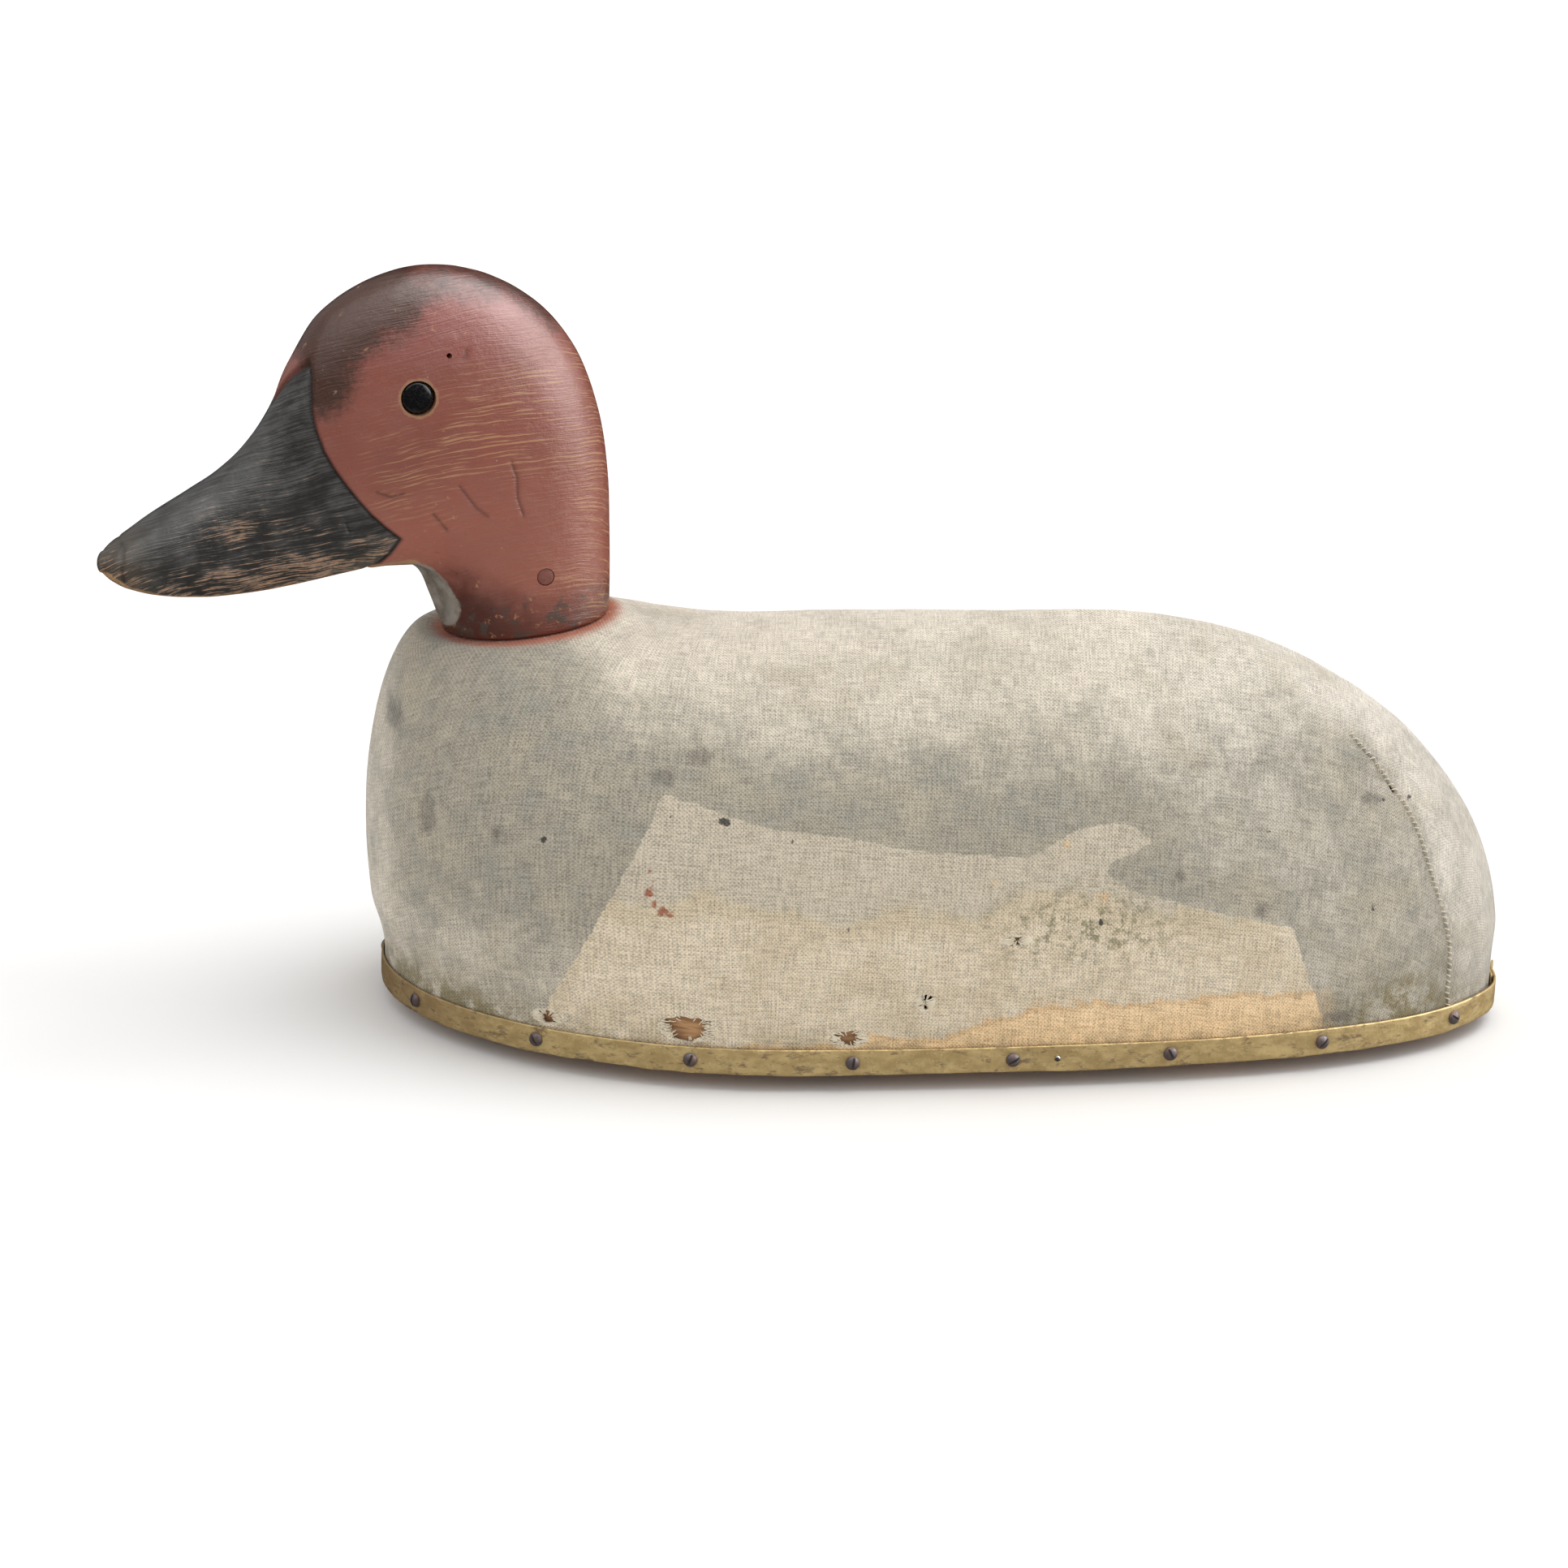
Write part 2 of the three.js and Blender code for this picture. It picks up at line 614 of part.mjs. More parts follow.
// Head: sections joined by a Catmull-Rom spline, each a superellipse across the head.
function headSection(t) {
  const place = t * (HEAD_SECTIONS.length - 1);
  const k = Math.min(Math.floor(place), HEAD_SECTIONS.length - 2);
  const f = place - k;
  const row = (i) => HEAD_SECTIONS[THREE.MathUtils.clamp(i, 0, HEAD_SECTIONS.length - 1)];
  return row(k).map((p1, column) => {
    const p0 = row(k - 1)[column];
    const p2 = row(k + 1)[column];
    const p3 = row(k + 2)[column];
    const pull = f * (p2 - p0 + f * (2 * p0 - 5 * p1 + 4 * p2 - p3 + f * (3 * p1 - p0 - 3 * p2 + p3)));
    return p1 + pull / 2;
  });
}

function headPoint(t, angle) {
  const [topH, topZ, lowH, lowZ, half, widest, upper, lower] = headSection(t);
  const c = Math.cos(angle);
  const s = Math.sin(angle);
  const power = c > 0 ? upper : lower;
  const share = c > 0 ? widest + (1 - widest) * c ** (2 / power) : widest - widest * (-c) ** (2 / power);
  const side = Math.sign(s) * half * Math.abs(s) ** (2 / power);
  return [-(lowH + (topH - lowH) * share), side, lowZ + (topZ - lowZ) * share];
}

function headBlock() {
  const points = [];
  const triangles = [];
  for (let j = 0; j <= HEAD_ROWS; j += 1) {
    for (let i = 0; i < HEAD_ROUND; i += 1) {
      points.push(headPoint(j / HEAD_ROWS, TURN * i / HEAD_ROUND));
    }
  }
  const tip = points.length;
  points.push([-HEAD_TIP[0], 0, HEAD_TIP[1]], [0, 0, 0]);
  for (let i = 0; i < HEAD_ROUND; i += 1) {
    const next = (i + 1) % HEAD_ROUND;
    for (let j = 0; j < HEAD_ROWS; j += 1) {
      const a = j * HEAD_ROUND;
      const b = a + HEAD_ROUND;
      triangles.push([a + i, b + i, b + next], [a + i, b + next, a + next]);
    }
    const foot = HEAD_ROWS * HEAD_ROUND;
    triangles.push([tip, i, next], [tip + 1, foot + next, foot + i]);
  }
  return closedGeometry(points, triangles);
}

function acrossHead(geometry, [forward, up], side) {
  return geometry.rotateX(side < 0 ? Math.PI / 2 : -Math.PI / 2).translate(-forward, 0, up);
}

function carvedHead() {
  const dowel = toManifold(rod(DOWEL_R + DOWEL_CLEARANCE / 2, -5, DOWEL_TOP + GAP, ROUND_SIDES));
  const peg = toManifold(acrossHead(rod(PEG_R + PEG_CLEARANCE, -FAR, FAR, PIN_SIDES), PEG_AT, 1));
  const sockets = [-1, 1].map((side) => toManifold(
    acrossHead(rod(EYE_SOCKET_R, EYE_SIDE - EYE_SOCKET_DEPTH, FAR, PIN_SIDES), EYE_AT, side)));
  return cut(headBlock(), dowel, peg, ...sockets);
}

function eye(side) {
  const back = EYE_SIDE - EYE_SOCKET_DEPTH + GAP;
  const rim = EYE_SIDE - EYE_DOME;
  const profile = [
    [0, back], [EYE_R, back], [EYE_R, rim], [EYE_R * 0.87, rim + 1], [EYE_R * 0.5, rim + 1.7], [0, rim + EYE_DOME],
  ];
  return acrossHead(turned(profile, PIN_SIDES), EYE_AT, side);
}

function neckDowel() {
  const hole = toManifold(acrossHead(rod(PEG_R + PEG_CLEARANCE, -FAR, FAR, PIN_SIDES), PEG_AT, 1));
  return cut(rod(DOWEL_R, DOWEL_BOTTOM, DOWEL_TOP, ROUND_SIDES), hole);
}

function neckPeg() {
  return acrossHead(rod(PEG_R, -PEG_HALF, PEG_HALF, PIN_SIDES), PEG_AT, 1);
}

// Assembly.
function add(parent, name, geometry, material) {
  const mesh = new THREE.Mesh(geometry, material);
  mesh.name = name;
  parent.add(mesh);
}

function buildBody(group) {
  const holes = stripHoles();
  const ballastHoles = wasm.Manifold.union(BALLAST_SCREWS.map((place) => flatScrewHole(...place)));
  const boardHoles = wasm.Manifold.union(Object.values(BOARD_SCREWS).map((place) => flatScrewHole(...place)));
  const recesses = wasm.Manifold.union([ballastHoles, boardHoles, ...stapleHoles()]);
  add(group, 'base_board', baseBoard(holes, recesses), looks.pine);
  add(group, 'canvas_cover', canvasCover(holes), looks.canvas);
  add(group, 'edge_strip', edgeStrip(holes), looks.brass);
  for (let k = 0; k < SCREW_COUNT; k += 1) {
    add(group, `strip_screw_${String(k + 1).padStart(2, '0')}`, stripScrew(k), looks.steel);
  }
  add(group, 'strip_nail', stripNail(), looks.bright);
  add(group, 'breast_block', breastBlock(boardHoles), looks.pine);
  add(group, 'tail_block', tailBlock(boardHoles), looks.pine);
  ['front', 'middle', 'rear'].forEach((name, k) => {
    add(group, `rib_${name}`, rib(RIB_X[k], boardHoles), looks.pine);
  });
  const layer = slatLayer();
  add(group, 'slat_ridge', ridgeSlat(layer), looks.pine);
  for (const [name, low] of Object.entries(SLAT_BANDS)) {
    add(group, `slat_left_${name}`, sideSlat(layer, -1, low), looks.pine);
    add(group, `slat_right_${name}`, sideSlat(layer, 1, low), looks.pine);
  }
  for (const [name, place] of Object.entries(BOARD_SCREWS)) {
    add(group, name, flatScrew(...place), looks.steel);
  }
  add(group, 'ballast_plate', ballastPlate(ballastHoles), looks.lead);
  BALLAST_SCREWS.forEach((place, k) => {
    add(group, `ballast_screw_${k + 1}`, flatScrew(...place), looks.steel);
  });
  add(group, 'anchor_staple', anchorStaple(), looks.steel);
}

function buildHead(group) {
  const head = new THREE.Group();
  head.applyMatrix4(seatMatrix(HEAD_TURN));
  add(head, 'head', carvedHead(), looks.head);
  add(head, 'eye_left', eye(-1), looks.eye);
  add(head, 'eye_right', eye(1), looks.eye);
  add(head, 'neck_dowel', neckDowel(), looks.pine);
  add(head, 'neck_peg', neckPeg(), looks.peg);
  group.add(head);
}

const group = new THREE.Group();
group.position.set(...ORIGIN_SHIFT);
buildBody(group);
buildHead(group);

export default group;
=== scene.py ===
"""Looks for a floating duck decoy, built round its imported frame.

Shapes are worked out in millimetres from a body line, with the bill towards
-X and +Z up, and turned into metres when their meshes are made.
"""
import json
import math
import random

import bpy
import numpy as np
from mathutils import Matrix, Vector
from mathutils.bvhtree import BVHTree
from mathutils.kdtree import KDTree


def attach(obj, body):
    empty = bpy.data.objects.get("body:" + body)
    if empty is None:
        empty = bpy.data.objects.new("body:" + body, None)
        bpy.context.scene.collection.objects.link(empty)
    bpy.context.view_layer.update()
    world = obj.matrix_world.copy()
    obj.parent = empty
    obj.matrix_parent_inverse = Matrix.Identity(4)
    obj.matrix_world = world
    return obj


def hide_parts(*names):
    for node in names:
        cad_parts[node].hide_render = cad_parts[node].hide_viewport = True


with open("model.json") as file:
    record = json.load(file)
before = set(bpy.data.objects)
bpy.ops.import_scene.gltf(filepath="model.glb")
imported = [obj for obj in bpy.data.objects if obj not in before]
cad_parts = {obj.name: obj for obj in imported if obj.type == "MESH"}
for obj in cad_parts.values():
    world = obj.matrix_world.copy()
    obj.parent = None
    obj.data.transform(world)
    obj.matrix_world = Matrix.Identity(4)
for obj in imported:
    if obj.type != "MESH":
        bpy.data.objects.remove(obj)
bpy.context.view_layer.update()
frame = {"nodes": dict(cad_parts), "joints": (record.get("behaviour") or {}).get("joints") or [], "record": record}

MM = 0.001
TURN = 2 * math.pi
GAP = 0.3

# Body form, the same as in the part: outline on the base plane, sections up to a ridge.
BASE_Z = 6
BODY_MID_X = -58
FRONT_LENGTH = 143.7
REAR_LENGTH = 269
HALF_WIDTH = 96
REAR_TAPER = 0.055
RIDGE_FRONT_INSET = 29
RIDGE_REAR_INSET = 155
RIDGE_Z = 149.6
RIDGE_SLOPE = 0.075
SHOULDER_RISE = 11.4
SHOULDER_X = -150
SHOULDER_SPREAD = 48
SIDE_POWER = 2.3
FRONT_POWER = 4.2
REAR_POWER = 2.14
SIDE_BULGE = 4
FRONT_BULGE = 7.4
REAR_BULGE = 5.5
SKIRT_TOP_Z = 17
BULGE_RISE = 24
SKIRT_BOTTOM_Z = 6.5
CANVAS = 1.1
BOARD_TOP_Z = 30
BOARD_INSET = 1.9
BOARD_ROWS = 30

# Neck seat, and where it stands in the frame: the swivel joint's own point.
SEAT = (-150, 0, 145.5)
SEAT_TILT = 7
SEAT_FLAT_R = 32
SEAT_BLEND_BELOW = 8
SEAT_BLEND_ABOVE = 12
SEAT_GAP = 0.4
HEAD_TURN = 14
SWIVEL = Vector(frame["joints"][0]["pos_m"])
BODY_ORIGIN = SWIVEL / MM - Vector(SEAT)

# Edge strip, its screws and the nail, whose places are counted in steps from screw to screw.
STRIP = 0.9
STRIP_BOTTOM_Z = 6.6
STRIP_HEIGHT = 9.5
# Outline angle of the strip's start and of its lap; then, in shares of its length, where it climbs
# over its own start and where its end begins to lift.
STRIP_START = -0.03
STRIP_LAP = 0.15
STRIP_RAMP = (0.935, 0.97)
STRIP_LIFT_FROM = 0.988
STRIP_LIFT = 3.2
SCREW_COUNT = 17
SCREW_FIRST = 0.32
NAIL_PLACE = 13.6
SCREW_HOLE_R = 1.5
BOARD_HOLE_R = 1.4
NAIL_HOLE_R = 0.8

# Fineness of the meshes; the canvas's columns go round it, and half of them lie on each side.
CANVAS_COLUMNS = 720
HALF_ROUND = CANVAS_COLUMNS // 2
CANVAS_ROWS = 126
PROFILE_SAMPLES = 260
OUTLINE_SAMPLES = 7201
STRIP_STATIONS = 1300

# Sections of the head from bill tip to neck foot: forward and up of the top and of the underside,
# half width, the share of the height at which it is widest, and the powers above and below that.
HEAD_SECTIONS = [
    [148.8, 49.4, 150.9, 41.8, 7.2, 0.5, 2, 2],
    [145.6, 51.6, 148.1, 39, 12, 0.45, 2.1, 2.6],
    [139.6, 55, 142.5, 35.8, 15.5, 0.4, 2.1, 3.4],
    [130, 60.2, 132, 32.4, 18.5, 0.36, 2.1, 4],
    [117, 66.2, 116, 29.7, 20, 0.34, 2.1, 4.4],
    [105, 72, 100, 28.7, 20.5, 0.34, 2, 4.4],
    [94, 80, 85, 29, 21, 0.34, 1.9, 4.4],
    [83.8, 91.6, 72, 29.6, 22, 0.36, 1.9, 4],
    [74, 107, 62, 29.8, 23.5, 0.4, 2, 3.4],
    [61.5, 122.8, 54, 29.8, 25.5, 0.44, 2.1, 3],
    [42.5, 132.4, 47.8, 29, 27.5, 0.48, 2.2, 2.8],
    [21.5, 134.9, 42, 27.8, 28.6, 0.5, 2.2, 2.6],
    [0.5, 129, 38.6, 25.8, 29, 0.5, 2.2, 2.4],
    [-17.4, 115.8, 36.8, 23.2, 29, 0.5, 2.2, 2.2],
    [-29.2, 97, 35.8, 20.2, 29, 0.5, 2.2, 2.1],
    [-34.6, 74.6, 35, 16.6, 28.8, 0.5, 2.2, 2],
    [-35.4, 52, 34, 12.6, 28.5, 0.5, 2.2, 2],
    [-34, 32, 33, 8.4, 28.3, 0.5, 2.2, 2],
    [-32, 14, 31.8, 4, 28.1, 0.5, 2.2, 2],
    [-30.2, 0, 30.8, 0, 28, 0.5, 2.2, 2],
]
HEAD_TIP = 151.9
HEAD_COLUMNS = 420
# In the head's own frame, from the seat: places are forward and up, the others out to the side.
DOWEL_R = 9.5
DOWEL_TOP = 50
DOWEL_BOTTOM = -58
PEG_R = 3.1
PEG_AT = (-4.3, 21.9)
PEG_HALF = 27.9
EYE_AT = (33.4, 94.1)
EYE_SIDE = 28
EYE_R = 5.8
EYE_SOCKET_R = 6.2
EYE_SOCKET_DEPTH = 5
EYE_DOME = 2


# ---------------------------------------------------------------- small maths

def smooth(t):
    s = np.clip(t, 0, 1)
    return s * s * (3 - 2 * s)


def bell(distance, spread):
    return np.exp(-(np.asarray(distance) / spread) ** 2)


def unevenness(points, size, seed, count=7):
    """A soft, seeded unevenness from -1 to 1 with bumps about `size` across."""
    rng = np.random.default_rng(seed)
    total = np.zeros(points.shape[:-1])
    for _ in range(count):
        direction = rng.normal(size=3)
        direction /= np.linalg.norm(direction)
        wave = size * rng.uniform(0.8, 1.9)
        total += np.sin(points @ direction * TURN / wave + rng.uniform(0, TURN))
    return total / count ** 0.5 / 1.6


def path_distance(points, path):
    """Distance from each point to a chain of straight stretches, in two or three dimensions."""
    best = np.full(points.shape[:-1], 1e9)
    for a, b in zip(path[:-1], path[1:]):
        a = np.array(a, float)
        run = np.array(b, float) - a
        share = np.clip(((points - a) @ run) / (run @ run), 0, 1)
        gap = points - a - share[..., None] * run
        best = np.minimum(best, np.linalg.norm(gap, axis=-1))
    return best


def inside_distance(points, polygon):
    """Signed distance to a flat polygon, positive inside it."""
    ring = list(polygon) + [polygon[0]]
    inside = np.zeros(points.shape[:-1], bool)
    x, z = points[..., 0], points[..., 1]
    for (x0, z0), (x1, z1) in zip(ring[:-1], ring[1:]):
        crosses = (z0 > z) != (z1 > z)
        rise = z1 - z0 if z1 != z0 else 1e-9
        inside ^= crosses & (x < (x1 - x0) * (z - z0) / rise + x0)
    distance = path_distance(points, ring)
    return np.where(inside, distance, -distance)


def catmull(p0, p1, p2, p3, f):
    """A point of a Catmull-Rom curve, a share f of the way from p1 to p2."""
    bend = 2 * p0 - 5 * p1 + 4 * p2 - p3 + f * (3 * p1 - p0 - 3 * p2 + p3)
    return p1 + f * (p2 - p0 + f * bend) / 2


def curve_through(path, step):
    """Points at about `step` along a Catmull-Rom curve through a path."""
    points = [Vector(p) for p in path]
    points = [2 * points[0] - points[1]] + points + [2 * points[-1] - points[-2]]
    made = []
    for p0, p1, p2, p3 in zip(points, points[1:], points[2:], points[3:]):
        count = max(1, round((p2 - p1).length / step))
        made += [catmull(p0, p1, p2, p3, k / count) for k in range(count)]
    return made + [points[-2]]


def even_steps(line, count):
    """Points at equal steps along a dense line."""
    steps = np.linalg.norm(np.diff(line, axis=0), axis=1)
    lengths = np.concatenate([[0], np.cumsum(steps)])
    wanted = np.linspace(0, lengths[-1], count)
    return np.stack([np.interp(wanted, lengths, line[:, k]) for k in range(3)], axis=-1)


# ---------------------------------------------------------------- body form

def outline(u):
    c = np.cos(u)
    length = np.where(c < 0, FRONT_LENGTH, REAR_LENGTH)
    narrow = 1 - REAR_TAPER * np.sin(np.pi * np.maximum(c, 0))
    return np.stack([BODY_MID_X + length * c, HALF_WIDTH * np.sin(u) * narrow], axis=-1)


def outline_normal(u):
    along = outline(u + 1e-4) - outline(u - 1e-4)
    along /= np.linalg.norm(along, axis=-1, keepdims=True)
    return np.stack([along[..., 1], -along[..., 0]], axis=-1)


def outline_lengths():
    """Outline angles in small steps, and how long the outline is up to each."""
    u = np.linspace(0, TURN, OUTLINE_SAMPLES)
    steps = np.linalg.norm(np.diff(outline(u), axis=0), axis=1)
    return u, np.concatenate([[0], np.cumsum(steps)])


def angle_at(share):
    """Outline angle at a share of the outline's length."""
    u, lengths = outline_lengths()
    return np.interp(np.mod(share, 1) * lengths[-1], lengths, u)


def ridge_height(x):
    return RIDGE_Z + RIDGE_SLOPE * x + SHOULDER_RISE * bell(x - SHOULDER_X, SHOULDER_SPREAD)


def press_seat(points):
    """The canvas is pressed flat under the neck."""
    tilt = math.radians(SEAT_TILT)
    dx = points[..., 0] - SEAT[0]
    dz = points[..., 2] - SEAT[2]
    along = dx * math.cos(tilt) + dz * math.sin(tilt)
    above = -dx * math.sin(tilt) + dz * math.cos(tilt) + SEAT_GAP
    r = np.hypot(along, points[..., 1])
    blend = np.where(above < 0, SEAT_BLEND_BELOW, SEAT_BLEND_ABOVE)
    free = smooth((r - SEAT_FLAT_R) / blend)
    drop = np.where(points[..., 2] > SEAT[2] / 2, above * (1 - free), 0)
    shift = np.stack([drop * math.sin(tilt), 0 * drop, -drop * math.cos(tilt)], axis=-1)
    return points + shift


def body_profiles(u, rows):
    """Points up each profile at equal steps, from the skirt to the ridge: rows, angles, xyz."""
    c = np.cos(u)
    front = c < 0
    power = SIDE_POWER + (np.where(front, FRONT_POWER, REAR_POWER) - SIDE_POWER) * c * c
    bulge = SIDE_BULGE + (np.where(front, FRONT_BULGE, REAR_BULGE) - SIDE_BULGE) * c * c
    run = np.where(front, FRONT_LENGTH - RIDGE_FRONT_INSET, REAR_LENGTH - RIDGE_REAR_INSET)
    ridge_x = BODY_MID_X + run * c
    foot = outline(u)
    away = foot - np.stack([ridge_x, 0 * ridge_x], axis=-1)
    span = np.linalg.norm(away, axis=-1)
    top = ridge_height(ridge_x)
    start = (SKIRT_BOTTOM_Z - BASE_Z) / (top - BASE_Z)
    half = 0.5 ** (1 / power)
    k = np.linspace(0, 1, PROFILE_SAMPLES)[:, None]
    low_rise = start + (half - start) * k
    high_reach = half * (1 - k)
    rise = np.vstack([low_rise, (1 - high_reach ** power) ** (1 / power)])
    reach = np.vstack([(1 - low_rise ** power) ** (1 / power), high_reach])
    z = BASE_Z + (top - BASE_Z) * rise
    swell = bulge * np.sin(np.pi * rise) * smooth((z - SKIRT_TOP_Z) / BULGE_RISE)
    r = reach * span + swell
    dense = np.stack([ridge_x + away[:, 0] / span * r, away[:, 1] / span * r, z], axis=-1)
    dense = press_seat(dense)
    return np.stack([even_steps(dense[:, i], rows + 1) for i in range(len(u))], axis=1)


def grid_normals(points):
    """Outward normals of a grid of rows that go round."""
    up = np.gradient(points, axis=0)
    wrapped = np.concatenate([points[:, -1:], points, points[:, :1]], axis=1)
    along = (wrapped[:, 2:] - wrapped[:, :-2]) / 2
    normal = np.cross(along, up)
    return normal / np.maximum(np.linalg.norm(normal, axis=-1, keepdims=True), 1e-9)


def in_frame(points):
    """Body-line millimetres to frame metres."""
    return (np.asarray(points, float) + np.array(BODY_ORIGIN)) * MM


def seat_matrix(turn):
    """Placement, in metres, of things made in the head's own frame."""
    tilt = Matrix.Rotation(-math.radians(SEAT_TILT), 4, "Y")
    yaw = Matrix.Rotation(math.radians(turn), 4, "Z")
    return Matrix.Translation(SWIVEL) @ tilt @ yaw


# ---------------------------------------------------------------- mesh making

def linked(name, data):
    """An object in the scene from its data."""
    made = bpy.data.objects.new(name, data)
    bpy.context.scene.collection.objects.link(made)
    return made


def mesh_object(name, points, faces):
    """A smooth-shaded object from points in metres."""
    mesh = bpy.data.meshes.new(name)
    mesh.from_pydata(np.asarray(points).tolist(), [], [list(f) for f in faces])
    mesh.validate()
    mesh.update()
    mesh.shade_smooth()
    return linked(name, mesh)


def ring_faces(rows, columns, start=0):
    """Quads between rings that close on themselves."""
    j, i = np.mgrid[0:rows - 1, 0:columns]
    a = start + j * columns + i
    b = start + j * columns + (i + 1) % columns
    return np.stack([a, b, b + columns, a + columns], axis=-1).reshape(-1, 4).tolist()


def solid_faces(rows, columns, start=0):
    """Faces of a closed solid: quads between its rings, and a cap on each end."""
    last = start + (rows - 1) * columns
    caps = [list(range(start, start + columns))[::-1], list(range(last, last + columns))]
    return ring_faces(rows, columns, start) + caps


def loft(name, rings, matrix=None):
    """A closed solid from rings of equal count."""
    rings = np.asarray(rings, float)
    made = mesh_object(name, rings.reshape(-1, 3), solid_faces(*rings.shape[:2]))
    if matrix is not None:
        made.matrix_world = matrix
    return made


def turned(name, profile, sides, matrix=None):
    """A turned solid along +Z; the profile is radius and height in millimetres, axis to axis."""
    angle = np.arange(sides) * TURN / sides
    rings = [[(r * MM * c, r * MM * s, z * MM) for c, s in zip(np.cos(angle), np.sin(angle))]
             for r, z in profile if r > 0]
    return loft(name, rings, matrix)


def tube_rings(path, radius, sides=8, taper=0.0):
    """Rings round a path of points in millimetres."""
    path = [Vector(p) for p in path]
    along = (path[1] - path[0]).normalized()
    side = along.orthogonal().normalized()
    rings = []
    for k, point in enumerate(path):
        ahead = path[min(k + 1, len(path) - 1)] - path[max(k - 1, 0)]
        along = ahead.normalized()
        side = (side - along * side.dot(along)).normalized()
        other = along.cross(side)
        r = radius * (1 - taper * k / (len(path) - 1))
        rings.append([point + (side * math.cos(a) + other * math.sin(a)) * r
                      for a in (TURN * i / sides for i in range(sides))])
    return rings


def join_tubes(name, tubes, sides):
    """One mesh object from many capped tubes, each a list of rings in body-line millimetres."""
    points = []
    faces = []
    for rings in tubes:
        faces += solid_faces(len(rings), sides, len(points))
        points += [p for ring in rings for p in ring]
    return mesh_object(name, in_frame(points), faces)


def cut(piece, cutters):
    """Cuts solids away from a piece and deletes them."""
    bpy.context.view_layer.update()
    for cutter in cutters:
        change = piece.modifiers.new("cut", "BOOLEAN")
        change.operation = "DIFFERENCE"
        change.solver = "MANIFOLD"
        change.object = cutter
    settle(piece)
    for cutter in cutters:
        bpy.data.objects.remove(cutter)


def settle(piece):
    """Applies every modifier."""
    graph = bpy.context.evaluated_depsgraph_get()
    done = bpy.data.meshes.new_from_object(piece.evaluated_get(graph))
    piece.modifiers.clear()
    piece.data = done


def merged(name, pieces):
    """One object from several that don't touch, in frame metres."""
    points = []
    faces = []
    for piece in pieces:
        start = len(points)
        points += [piece.matrix_world @ v.co for v in piece.data.vertices]
        faces += [[start + i for i in face.vertices] for face in piece.data.polygons]
        bpy.data.objects.remove(piece)
    return mesh_object(name, [list(p) for p in points], faces)


def mark(piece, name, values):
    """Stores one number, or three, on each point for the materials."""
    values = np.asarray(values, np.float32)
    kind = "FLOAT_VECTOR" if values.ndim == 2 else "FLOAT"
    layer = piece.data.attributes.new(name, kind, "POINT")
    layer.data.foreach_set("vector" if values.ndim == 2 else "value", values.ravel())


def points_of(piece):
    """The piece's own points, in millimetres."""
    flat = np.empty(len(piece.data.vertices) * 3)
    piece.data.vertices.foreach_get("co", flat)
    return flat.reshape(-1, 3) / MM


def body_points_of(piece):
    return points_of(piece) - np.array(BODY_ORIGIN)


def settle_place(piece):
    """Moves a piece's placement into its points, and stores its own coordinates in metres as `own`."""
    mark(piece, "own", points_of(piece) * MM)
    piece.data.transform(piece.matrix_world)
    piece.matrix_world = Matrix.Identity(4)


def finish_piece(piece, look, body, slot, *nodes):
    """Gives a finished piece its material and its body, and hides the frame nodes that it stands for. Its slot is
    not used.
    """
    bpy.context.view_layer.update()
    if piece.matrix_world != Matrix.Identity(4):
        settle_place(piece)
    piece.data.materials.clear()
    piece.data.materials.append(look)
    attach(piece, body)
    if nodes:
        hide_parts(*nodes)
    return piece


# ---------------------------------------------------------------- materials

class Value:
    """A number that a node gives, to add to, take from and multiply."""

    def __init__(self, look, socket):
        self.look = look
        self.socket = socket

    def __add__(self, other):
        return self.look.math("ADD", self, other)

    def __sub__(self, other):
        return self.look.math("SUBTRACT", self, other)

    def __rsub__(self, other):
        return self.look.math("SUBTRACT", other, self)

    def __mul__(self, other):
        return self.look.math("MULTIPLY", self, other)


